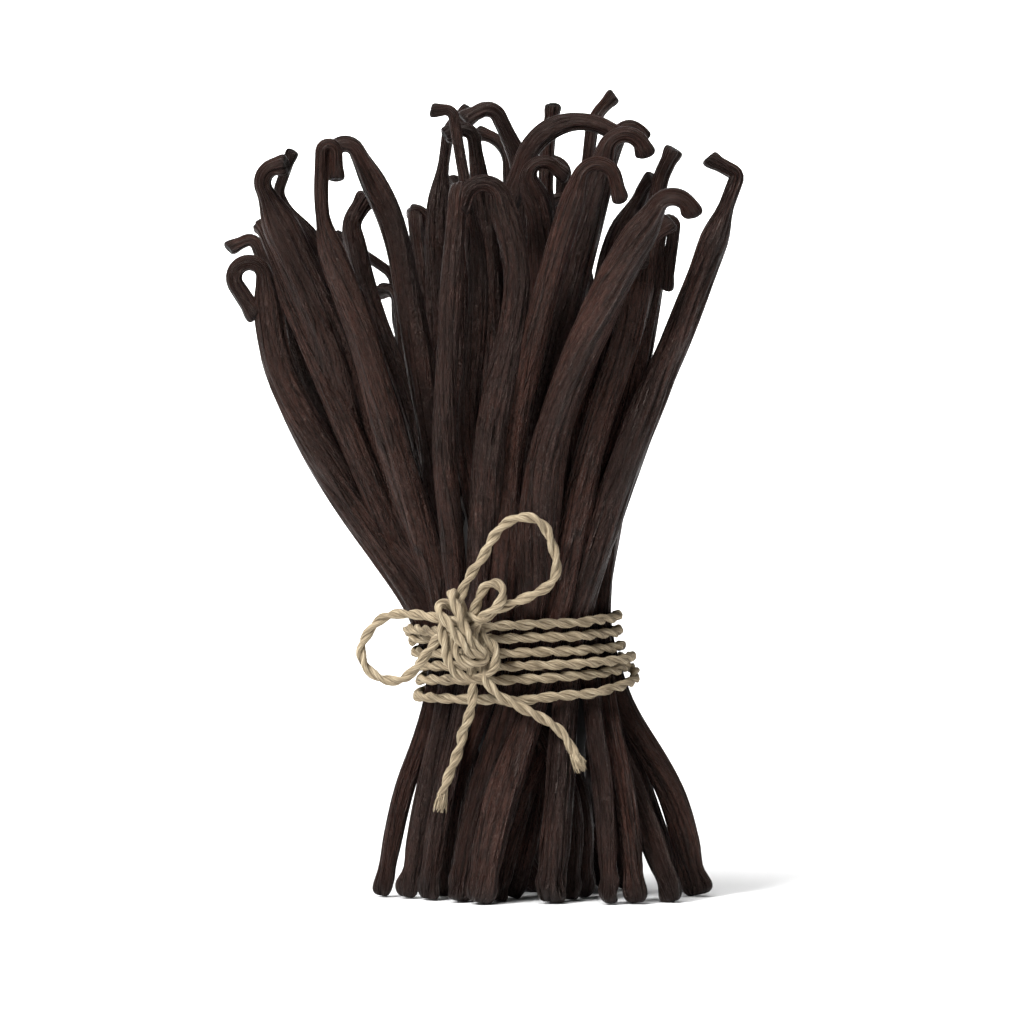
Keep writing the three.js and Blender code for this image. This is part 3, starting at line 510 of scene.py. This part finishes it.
# %% [markdown]
# ## The route of the twine
# One length of two-ply twine does everything: from the cut end of the left tail it makes the big loop,
# binds the knot, goes six times round the waist, makes the left loop and the small one, and ends as the
# right tail. Round the waist it lies as a taut band would: the furthest reach of all the pods' oval
# sections, direction by direction, gives both the distance and the slope of that band. Each row of
# `PASSES` is one turn: its height at the left, in front and at the right, and how far it is lifted off the
# pods in front, where it crosses another strand.

# %% Windings
TWINE = 2.4
PASSES = ((60.6, 62.4, 63.6, 0), (57.7, 59.5, 60.2, 0), (54.9, 56.2, 56.8, 0),
          (52.1, 53.2, 54.3, 1.9), (49.0, 50.2, 52.3, 0), (45.4, 45.6, 49.8, 1.2))
KNOT_ANGLE, CROSSING = 260, 120
LAST_LEFT, LAST_RISE = 60.4, 3.4
SKIN_CLEAR = 0.3
BAND_STEP = np.radians(4)
LINES = [pod_line(pod)[0] for pod in PODS]


def furthest(height, way):
    """How far the pods reach from the middle of the waist, in one direction and at one height."""
    reach = []
    for number, line in enumerate(LINES):
        x, y = line[np.argmax(line[:, 2] >= height), :2]
        wide = pod_width(PODS[number], 50, 100, height) / 2 + SKIN_CLEAR
        along = flat_way(number).dot((np.cos(way), np.sin(way), 0))
        oval = np.hypot(wide * along, (wide * FLATNESS + SKIN_CLEAR) * np.sqrt(max(0, 1 - along**2)))
        reach.append((x - WAIST_X) * np.cos(way) + y * np.sin(way) + oval)
    return max(reach)


def taut_band(height, degrees, away):
    way = np.radians(degrees)
    before, here, after = [furthest(height, way + turn) for turn in (-BAND_STEP, 0, BAND_STEP)]
    slope = (after - before) / (2 * BAND_STEP)
    far = (before + 2 * here + after) / 4 + away
    return [WAIST_X + far * np.cos(way) - slope * np.sin(way),
            far * np.sin(way) + slope * np.cos(way), height]


def windings(step=9):
    route = []
    for number, (left, middle, right, lift) in enumerate(PASSES):
        last = number == len(PASSES) - 1
        next_left = LAST_LEFT if last else PASSES[number + 1][0]
        for degrees in np.arange(180, 540, step):
            if number == 0 and degrees < KNOT_ANGLE:
                continue
            turn = (degrees - 180) / 180
            height = np.interp(turn, (0, 0.5, 1, 2), (left, middle, right, next_left))
            raised = lift * np.cos(np.radians(90 * min(1, 180 * abs(turn - 1) / CROSSING))) ** 2
            if last and turn > 1:
                raised = mix(lift, LAST_RISE, smooth((turn - 1) * 5)) * (1 - smooth((turn - 1) * 4 - 3))
            route.append(taut_band(height, degrees, TWINE / 2 + raised))
    return route + [taut_band(LAST_LEFT, 180, TWINE / 2)]


turns = windings()
print("round the waist, mm:", round(lengths_along(np.array(turns))[-1]))

# %% [markdown]
# ## The bow and the knot
# The loops and tails hang freely, so their places are given one by one, in order along the twine. The knot
# goes twice over the front from upper left to lower right, round the bottom to the left, and up behind.
# From there a strand swings down and under the knot on its way to the first turn round the waist.

# %% The bow
TWINE_STEP = 0.35
TAIL_AND_BIG_LOOP = [
    (-9.9, -18.6, 21.6), (-8.6, -18.8, 26.6), (-6.8, -19, 31.3), (-5.4, -19.3, 35.1), (-4.6, -20, 38.8),
    (-3.2, -21.2, 42.6), (-2.5, -22, 46.6), (-2.5, -22.2, 51), (-3.6, -22.2, 56), (-5, -22.2, 61),
    (-5.4, -22.2, 65.4), (-4.9, -22.4, 69.8), (-2.7, -22.8, 74.3), (-0.2, -23.4, 77.9), (1.6, -24.2, 81.5),
    (4.1, -25, 84.8), (7.2, -25.6, 86.6), (10.8, -25.8, 86.7), (13.4, -25.6, 84.9), (14.9, -25.2, 81.6),
    (15.9, -24.6, 78.4), (16.2, -24, 75.2), (14.9, -23.4, 72), (11.7, -23, 69.8), (7.8, -22.8, 68.1),
    (3.4, -23, 66.3), (-0.4, -23.6, 64.2)]
LEFT_LOOP = [
    (-5, -22.8, 62.8), (-9.5, -21.6, 64), (-13, -19.6, 64.6), (-17.2, -17.2, 64.8), (-20.9, -15.4, 64.5),
    (-23.8, -14.4, 62.8), (-26, -13.8, 60.1), (-27.4, -13.6, 57.2), (-27, -13.8, 54), (-25.2, -14.2, 51.5),
    (-22.2, -14.9, 50), (-19, -15.9, 49.9), (-16.4, -17, 51.4), (-14, -18.2, 54.2), (-11.7, -19.6, 57.6),
    (-9.2, -21.2, 60.6), (-5.6, -22.8, 61.6)]
SMALL_LOOP_AND_TAIL = [
    (-3.4, -21, 63.4), (-1.9, -21.8, 66.4), (-0.8, -22.5, 69.4), (0.6, -23.2, 71.5), (2.5, -23.8, 72.1),
    (4, -24.2, 71), (4.2, -24.6, 69.1), (3.1, -24.7, 67.2), (1.1, -24.4, 65.5), (-1, -23, 63.7),
    (-2, -20.8, 61.2), (-1.2, -20.6, 57.4), (-0.4, -22, 53.8), (0.5, -23.2, 50.6), (2.8, -23.2, 47.5),
    (5.6, -22.6, 45.6), (8.9, -22, 43.9), (13, -21.2, 41.8), (17.2, -20.6, 38.7), (19.6, -20.5, 35),
    (21.7, -20.8, 30.6)]
KNOT = [
    (-3.6, -21.2, 64.6), (-6.4, -20.8, 66.4), (-8.8, -21.4, 67.4), (-10, -23.2, 66.8), (-9.5, -25, 65),
    (-7.9, -25.8, 63.2), (-6.3, -26, 61), (-4.7, -25.9, 58.8), (-2.9, -25.4, 56.9), (-1, -24.2, 56.1),
    (0, -22.2, 57), (-1, -20.8, 59.4), (-3, -20.7, 62.8), (-4.8, -20.8, 66.4), (-6.2, -21.4, 69),
    (-7.1, -23, 70), (-7, -24.6, 69), (-6.2, -25.5, 67), (-5.2, -25.9, 64.4), (-4, -26, 61.8),
    (-2.8, -25.6, 59.4), (-1.4, -24.6, 57.8), (0.2, -23.6, 56.8), (0.1, -23.6, 55.2), (-2, -24, 54.2),
    (-4.4, -24.2, 54.6), (-6.2, -23.8, 56.4), (-6.8, -22.4, 59), (-7, -21.2, 62), (-8.2, -21, 64),
    (-9.3, -22, 62.6), (-9, -23.2, 59.6)]
UNDER_KNOT = [
    (-8.3, -23.4, 56.6), (-7.5, -23.3, 53.9), (-5.9, -23, 51.9), (-3.8, -22.6, 50.9), (-1.5, -22.6, 50.7),
    (0.8, -22.9, 51.7), (2.4, -23, 53.8), (2.8, -22.7, 56.2), (1.8, -22, 58.4), (0, -20.8, 59.8)]
route = [*TAIL_AND_BIG_LOOP, *KNOT, *UNDER_KNOT, (-1, -19.4, 61.4), *turns,
         (-10, -17.2, 60.9), (-5.5, -21.4, 61.2), *LEFT_LOOP, *SMALL_LOOP_AND_TAIL]
twine_line = curve_through(route, per_span=12)
twine_length = lengths_along(twine_line)[-1]
twine_line = at_lengths(twine_line, np.arange(0, twine_length, TWINE_STEP))
print("twine, mm:", round(twine_length))

# %% [markdown]
# ## Finishes
# A cured pod is nearly black, with a brown tinge where light gets into the skin, an oily gloss and fine
# creases along its length. The creases, wrinkles and crumples finer than the mesh are a bump from noise
# stretched along the pod, read from the `grain` coordinates; the colour also carries painted shade in the
# creases, wrinkles and fold grooves. Pale flecks lie on the high points of the crumples, in patches: partly
# dry flecks of the skin, partly painted glints. The twine is undyed plant fibre: matt, beige, with painted
# shade in its lay between the plies.

# %% Finishes
def add_node(tree, kind, inputs=None, **settings):
    made = tree.nodes.new(kind)
    for key, value in settings.items():
        setattr(made, key, value)
    for key, value in (inputs or {}).items():
        if isinstance(value, bpy.types.NodeSocket):
            tree.links.new(value, made.inputs[key])
        else:
            made.inputs[key].default_value = value
    return made


def new_finish(name):
    material = bpy.data.materials.new(name)
    material.use_nodes = True
    return material, material.node_tree, material.node_tree.nodes["Principled BSDF"]


def read(tree, name, output="Fac"):
    return add_node(tree, "ShaderNodeAttribute", attribute_name=name).outputs[output]


def stretched(tree, place, along, **inputs):
    """Noise in millimetres on an unrolled surface, drawn out lengthwise by the given factor."""
    moved = add_node(tree, "ShaderNodeMapping", {"Vector": place, "Scale": (1, 1, 1 / along)})
    return add_node(tree, "ShaderNodeTexNoise", {"Vector": moved.outputs[0], **inputs}).outputs["Fac"]


def ramp(tree, value, *stops):
    made = add_node(tree, "ShaderNodeValToRGB", {"Fac": value})
    marks = made.color_ramp.elements
    while len(marks) < len(stops):
        marks.new(0.5)
    for mark, (place, colour) in zip(marks, stops):
        mark.position, mark.color = place, linear(colour)
    return made.outputs["Color"]


def blend(tree, share, a, b):
    """Colour a where the share is 0, and b where it is 1."""
    return add_node(tree, "ShaderNodeMix", {0: share, 6: a, 7: b}, data_type="RGBA").outputs[2]


def calculated(tree, operation, *values):
    return add_node(tree, "ShaderNodeMath", dict(enumerate(values)), operation=operation).outputs[0]


def crease_lines(tree, place, along, scale, thin, detail):
    """Thin lines, 0 in the line and 1 away from it: where stretched noise passes its middle value."""
    noise = stretched(tree, place, along, Scale=scale, Detail=detail)
    off = calculated(tree, "ABSOLUTE", calculated(tree, "SUBTRACT", noise, 0.5))
    return add_node(tree, "ShaderNodeMapRange", {"Value": off, "From Max": thin},
                    interpolation_type="SMOOTHSTEP").outputs[0]


def set_relief(tree, shader, height, strength, depth):
    bump = add_node(tree, "ShaderNodeBump", {"Height": height, "Strength": strength, "Distance": depth * MM})
    tree.links.new(bump.outputs[0], shader.inputs["Normal"])


pod_finish, tree, skin_shader = new_finish("cured vanilla pod skin")
grain = read(tree, "grain", "Vector")
long_creases = crease_lines(tree, grain, 24, scale=0.45, thin=0.03, detail=1.0)
fine_creases = crease_lines(tree, grain, 12, scale=1.3, thin=0.06, detail=2.0)
wrinkles = stretched(tree, grain, 5, Scale=2.3, Detail=2.5, Roughness=0.6)
crumple = stretched(tree, grain, 1.6, Scale=2.2, Detail=5.0, Roughness=0.7)
patches = stretched(tree, grain, 2, Scale=0.12, Detail=4.0)
speck_and_glint_patches = stretched(tree, grain, 3, Scale=0.07, Detail=3.0)
height = calculated(tree, "MULTIPLY", long_creases, 0.55)
for layer, share in ((fine_creases, 0.35), (wrinkles, 1), (crumple, 1.1)):
    height = calculated(tree, "MULTIPLY_ADD", layer, share, height)
set_relief(tree, skin_shader, height, 1.0, 0.6)
colour = ramp(tree, patches, (0.3, "#140907"), (0.5, "#21120e"), (0.72, "#38221c"))
reddish = ramp(tree, read(tree, "tone"), (0.6, "#000000"), (0.95, "#a0a0a0"))
colour = blend(tree, reddish, colour, linear("#3b2017"))
# Pale flecks on the crumples' high points, in patches: partly dry flecks of the skin, partly painted glints.
specks_and_glints = calculated(tree, "MULTIPLY", ramp(tree, crumple, (0.56, "#000000"), (0.7, "#b0b0b0")),
                    ramp(tree, speck_and_glint_patches, (0.44, "#303030"), (0.62, "#ffffff")))
colour = blend(tree, specks_and_glints, colour, linear("#7d6f67"))
# Painted shade: the colour goes near black in the low parts of the wrinkles.
wrinkle_shade = ramp(tree, wrinkles, (0.36, "#e0e0e0"), (0.53, "#000000"))
colour = blend(tree, wrinkle_shade, colour, linear("#0a0302"))
# Painted shade: the colour is darkened along the long crease lines.
colour = blend(tree, long_creases, linear("#0e0503"), colour)
# Painted shade: the grooves of the folds go near black, darker where the fold is deeper.
colour = blend(tree, read(tree, "crease"), colour, linear("#060201"))
colour = blend(tree, read(tree, "end"), colour, linear("#0d0706"))
tree.links.new(colour, skin_shader.inputs["Base Color"])
skin_shader.inputs["Roughness"].default_value = 0.28
skin_shader.inputs["Specular IOR Level"].default_value = 0.32
skin_shader.inputs["Specular Tint"].default_value = linear("#eed6cc")

core_finish, tree, core_shader = new_finish("unlit pods inside the bundle")
# Painted shade: the core is coloured near black, darker than the pods, as the shade deep inside the bundle.
core_shader.inputs["Base Color"].default_value = linear("#0c0706")
core_shader.inputs["Roughness"].default_value = 0.9

twine_finish, tree, twine_shader = new_finish("undyed two-ply twine")
fibre = read(tree, "fibre", "Vector")
strands = stretched(tree, fibre, 7, Scale=2.4, Detail=4, Roughness=0.65)
dirt = stretched(tree, fibre, 1, Scale=0.08, Detail=2)
colour = ramp(tree, strands, (0.3, "#504536"), (0.5, "#8b7c64"), (0.7, "#bcae94"))
soiled = ramp(tree, dirt, (0.4, "#000000"), (0.7, "#606060"))
colour = blend(tree, soiled, colour, linear("#8f7a5a"))
# Painted shade: the twine is darker where it lies low, in the lay between the plies.
lay_shade = ramp(tree, read(tree, "crest"), (0.21, "#d0d0d0"), (0.32, "#000000"))
colour = blend(tree, lay_shade, colour, linear("#54452f"))
tree.links.new(colour, twine_shader.inputs["Base Color"])
twine_shader.inputs["Roughness"].default_value = 0.9
set_relief(tree, twine_shader, strands, 0.8, 0.3)
for piece in pod_pieces:
    piece.data.materials.append(pod_finish)
core.data.materials.append(core_finish)
print("finishes:", [m.name for m in (pod_finish, core_finish, twine_finish)])

# %% [markdown]
# ## The twine itself
# Geometry Nodes twist two plies round the route. Each ply is the route's own line moved off to one side
# by a vector that turns once every `Turn`, swept with a circle. The `fibre` attribute unrolls the ply and
# turns the other way, as the fibres of a ply do. `crest` is how far a point lies from the middle of the
# twine, in diameters: the finish paints shade where it is low, between the plies.

# %% Twine nodes
PLY_SIZES = {"Diameter": TWINE * MM, "Turn": 9.6 * MM, "Fibre turn": -16.0 * MM, "Unevenness": 0.2}
PLY_SIDES = 14
PLY_RADIUS, PLY_OFF_AXIS = 0.29, 0.21
plies = bpy.data.node_groups.new("two-ply twine", "GeometryNodeTree")


def new_input(name, kind, value=None):
    made = plies.interface.new_socket(name, in_out="INPUT", socket_type=kind)
    if value is not None:
        made.default_value = value
    return made.identifier


def node(kind, inputs=None, **settings):
    return add_node(plies, kind, inputs, **settings)


def maths(operation, *values):
    return calculated(plies, operation, *values)


def vectors(operation, a, b, output="Vector"):
    return node("ShaderNodeVectorMath", {0: a, 1: b}, operation=operation).outputs[output]


def scaled(a, factor):
    return node("ShaderNodeVectorMath", {0: a, "Scale": factor}, operation="SCALE").outputs[0]


def store(geometry, name, value, kind):
    inputs = {"Geometry": geometry, "Name": name, "Value": value}
    return node("GeometryNodeStoreNamedAttribute", inputs, data_type=kind, domain="POINT").outputs[0]


def stored(name, kind):
    return node("GeometryNodeInputNamedAttribute", {"Name": name}, data_type=kind).outputs["Attribute"]


new_input("Route", "NodeSocketGeometry")
plies.interface.new_socket("Plies", in_out="OUTPUT", socket_type="NodeSocketGeometry")
sockets = {name: new_input(name, "NodeSocketFloat", value) for name, value in PLY_SIZES.items()}
sockets["Sides"] = new_input("Sides", "NodeSocketInt", PLY_SIDES)
sockets["Finish"] = new_input("Finish", "NodeSocketMaterial")
given = node("NodeGroupInput").outputs
along = node("GeometryNodeSplineParameter").outputs["Length"]
place = node("GeometryNodeInputPosition").outputs[0]
normal = node("GeometryNodeInputNormal").outputs["Normal"]
across = vectors("CROSS_PRODUCT", node("GeometryNodeInputTangent").outputs["Tangent"], normal)

# The section of a ply is a circle whose points know in which direction they lie.
around = maths("MULTIPLY", node("GeometryNodeSplineParameter").outputs["Factor"], 2 * np.pi)
ring = node("GeometryNodeCurvePrimitiveCircle", {
    "Resolution": given["Sides"], "Radius": maths("MULTIPLY", given["Diameter"], PLY_RADIUS)})
direction = node("ShaderNodeCombineXYZ", {"X": maths("COSINE", around), "Y": maths("SINE", around)})
section = store(ring.outputs["Curve"], "section", direction.outputs[0], "FLOAT_VECTOR")

# The two plies lie on opposite sides of the route, half a turn apart.
off = maths("MULTIPLY", given["Diameter"], PLY_OFF_AXIS)
both = node("GeometryNodeJoinGeometry")
for half_turn in (0.0, np.pi):
    turned = maths("ADD", maths("MULTIPLY", maths("DIVIDE", along, given["Turn"]), 2 * np.pi), half_turn)
    offset = vectors("ADD", scaled(normal, maths("MULTIPLY", off, maths("COSINE", turned))),
                     scaled(across, maths("MULTIPLY", off, maths("SINE", turned))))
    marked = store(given["Route"], "along", along, "FLOAT")
    marked = store(marked, "axis", place, "FLOAT_VECTOR")
    moved = node("GeometryNodeSetPosition", {"Geometry": marked, "Offset": offset}).outputs[0]
    swept = node("GeometryNodeCurveToMesh", {"Curve": moved, "Profile Curve": section, "Fill Caps": True})
    plies.links.new(swept.outputs[0], both.inputs[0])

# The attributes for the finish, and a slow swelling along each ply.
laid = stored("along", "FLOAT")
spin = maths("MULTIPLY", maths("DIVIDE", laid, given["Fibre turn"]), 2 * np.pi)
spun = node("ShaderNodeVectorRotate", {"Vector": stored("section", "FLOAT_VECTOR"), "Angle": spin},
            rotation_type="Z_AXIS").outputs[0]
unrolled = node("ShaderNodeCombineXYZ", {"Z": maths("MULTIPLY", laid, 1 / MM)}).outputs[0]
marked = store(both.outputs[0], "fibre", vectors("ADD", unrolled, spun), "FLOAT_VECTOR")
from_axis = vectors("DISTANCE", place, stored("axis", "FLOAT_VECTOR"), output="Value")
marked = store(marked, "crest", maths("DIVIDE", from_axis, given["Diameter"]), "FLOAT")
lump = node("ShaderNodeTexNoise", {
    "Vector": stored("fibre", "FLOAT_VECTOR"), "Scale": 0.9, "Detail": 2.0}).outputs["Fac"]
most = maths("MULTIPLY", given["Unevenness"], given["Diameter"])
swell = maths("MULTIPLY", maths("SUBTRACT", lump, 0.5), most)
uneven = node("GeometryNodeSetPosition", {"Geometry": marked, "Offset": scaled(normal, swell)}).outputs[0]
smoothed = node("GeometryNodeSetShadeSmooth", {"Geometry": uneven}).outputs[0]
whole = node("GeometryNodeRealizeInstances", {"Geometry": smoothed}).outputs[0]
done = node("GeometryNodeSetMaterial", {"Geometry": whole, "Material": given["Finish"]}).outputs[0]
node("NodeGroupOutput", {0: done})
print("twine tree:", len(plies.nodes), "nodes")

# %% Twine
def through_nodes(source, tree, name, values):
    modifier = source.modifiers.new("nodes", "NODES")
    modifier.node_group = tree
    for identifier, value in values.items():
        modifier[identifier] = value
    seen = source.evaluated_get(bpy.context.evaluated_depsgraph_get())
    mesh = bpy.data.meshes.new_from_object(seen, preserve_all_data_layers=True)
    source.modifiers.remove(modifier)
    mesh.name = name
    piece = bpy.data.objects.new(name, mesh)
    bpy.context.scene.collection.objects.link(piece)
    print(name, len(mesh.polygons), "faces")
    return piece


route_data = bpy.data.curves.new("twine route", "CURVE")
route_data.dimensions = "3D"
spline = route_data.splines.new("POLY")
spline.points.add(len(twine_line) - 1)
spline.points.foreach_set("co", np.column_stack([twine_line * MM, np.ones(len(twine_line))]).ravel())
route_object = bpy.data.objects.new("twine route", route_data)
bpy.context.scene.collection.objects.link(route_object)
twine = through_nodes(route_object, plies, "twine_plies",
                      {sockets["Finish"]: twine_finish, sockets["Sides"]: PLY_SIDES,
                       **{sockets[name]: value for name, value in PLY_SIZES.items()}})
bpy.data.objects.remove(route_object)

# %% [markdown]
# ## Frayed ends
# At both cut ends the plies come apart into single fibres: thin bent tubes, thinner towards the tip, that
# leave the last millimetres of twine and spread. Finer stray fibres stand off along the way.

# %% Frays
FIBRES_PER_END, STRAY_FIBRES = 44, 160
TIP_SHARE = 0.35


def fibre_tube(points, thick, sides=5):
    points = curve_through(points, per_span=4)
    ahead = np.gradient(points, axis=0)
    ahead /= np.linalg.norm(ahead, axis=1)[:, None]
    side = np.cross(ahead, (0.3, 0.2, 0.93))
    side /= np.linalg.norm(side, axis=1)[:, None]
    turn = np.linspace(0, 2 * np.pi, sides, endpoint=False)[None, :, None]
    round_way = side[:, None] * np.cos(turn) + np.cross(ahead, side)[:, None] * np.sin(turn)
    taper = thick / 2 * np.linspace(1, TIP_SHARE, len(points))[:, None, None]
    return points[:, None] + round_way * taper


def fibres():
    draw = np.random.default_rng(SEED + 500)
    for tip, inner in ((twine_line[0], twine_line[4]), (twine_line[-1], twine_line[-5])):
        ahead = unit(tip - inner)
        for _ in range(FIBRES_PER_END):
            out = unit(np.cross(ahead, draw.normal(size=3)))
            start = tip - ahead * draw.uniform(2.2, 3.6) + out * draw.uniform(0.5, 1.0)
            end = tip + ahead * draw.uniform(-0.6, 1.2) + out * draw.uniform(0.4, 1.7)
            bend = draw.normal(0, 0.12, 3)
            middle = mix(start, end, 0.5) + out * 0.2
            yield fibre_tube([start, middle, end + bend], draw.uniform(0.22, 0.5))
    for spot in draw.integers(10, len(twine_line) - 10, STRAY_FIBRES):
        ahead = unit(twine_line[spot + 3] - twine_line[spot - 3])
        out = unit(np.cross(ahead, draw.normal(size=3)))
        start = twine_line[spot] + out * TWINE * 0.4
        reach = draw.uniform(0.8, 2)
        lift = draw.uniform(0.2, 0.6)
        middle = start + ahead * reach * 0.5 + out * lift * 0.5
        end = start + ahead * reach + out * lift
        yield fibre_tube([start, middle, end], draw.uniform(0.05, 0.09), sides=4)


def join_tubes(name, tubes):
    points, faces, base = [], [], 0
    for rings in tubes:
        quads, fans = close_skin(rings)
        points += [rings.reshape(-1, 3), rings[:1].mean(1), rings[-1:].mean(1)]
        faces += [tuple(f) for f in quads + base] + [tuple(v + base for v in f) for f in fans]
        base += rings.shape[0] * rings.shape[1] + 2
    points = np.vstack(points)
    return make_mesh(name, points, faces, fibre=points * (1, 1, 0.3), crest=np.full(len(points), 0.5))


frays = join_tubes("twine_frays", list(fibres()))
frays.data.materials.append(twine_finish)
print("frays:", len(frays.data.polygons), "faces")

# %% [markdown]
# ## Floor and light
# The bundle stands on a plain white floor before a lit backdrop. A large soft light overhead and a smaller
# one from the left and in front shape the pods; a third, behind, only keeps the far floor white.

# %% Stage
FLOOR_WHITE = 0.78
SURROUND = 0.08
AIM = (0, 0, 0.09)

bpy.ops.mesh.primitive_plane_add(size=8)
floor = bpy.context.object
floor.name = "floor"
floor_finish, tree, floor_shader = new_finish("white studio floor")
floor_shader.inputs["Base Color"].default_value = (FLOOR_WHITE, FLOOR_WHITE, FLOOR_WHITE, 1)
floor_shader.inputs["Roughness"].default_value = 1.0
floor.data.materials.append(floor_finish)


def lamp(name, kind, place, target, power, **settings):
    data = bpy.data.lights.new(name, kind)
    data.energy = power
    for key, value in settings.items():
        setattr(data, key, value)
    made = bpy.data.objects.new(name, data)
    made.location = place
    made.rotation_euler = (Vector(target) - Vector(place)).to_track_quat("-Z", "Y").to_euler()
    bpy.context.scene.collection.objects.link(made)


lamp("overhead", "AREA", (-0.4, -0.3, 2.2), AIM, 86, size=1.4)
lamp("left front", "AREA", (-1.3, -1.4, 1.4), AIM, 68, size=0.5)
lamp("far floor", "SPOT", (0, 2.1, 2.4), (0, 2, 0), 420, spot_size=np.radians(78), spot_blend=0.4)
world = bpy.data.worlds.new("bright surround")
bpy.context.scene.world = world
world.use_nodes = True
world.node_tree.nodes["Background"].inputs["Color"].default_value = (1, 1, 1, 1)
world.node_tree.nodes["Background"].inputs["Strength"].default_value = SURROUND
bpy.ops.mesh.primitive_plane_add(size=2.4, location=(0, 3, 0), rotation=(np.pi / 2, 0, 0))
wall = bpy.context.object
wall.name = "white backdrop"
wall_finish, tree, wall_shader = new_finish("lit studio backdrop")
wall_shader.inputs["Emission Color"].default_value = (1, 1, 1, 1)
wall_shader.inputs["Emission Strength"].default_value = 1.0
wall.data.materials.append(wall_finish)
bpy.context.scene.view_settings.view_transform = "Standard"
print("stage set")

# %% [markdown]
# ## Handing over
# Every piece rides on the one body of the part. The pods and their core stand for the CAD pods, the plies
# for the CAD twine.

# %% Frame calls
for piece in [*pod_pieces, core]:
    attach(piece, "root")
    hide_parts("pods")
for piece in (twine, frays):
    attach(piece, "root")
    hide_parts("twine")
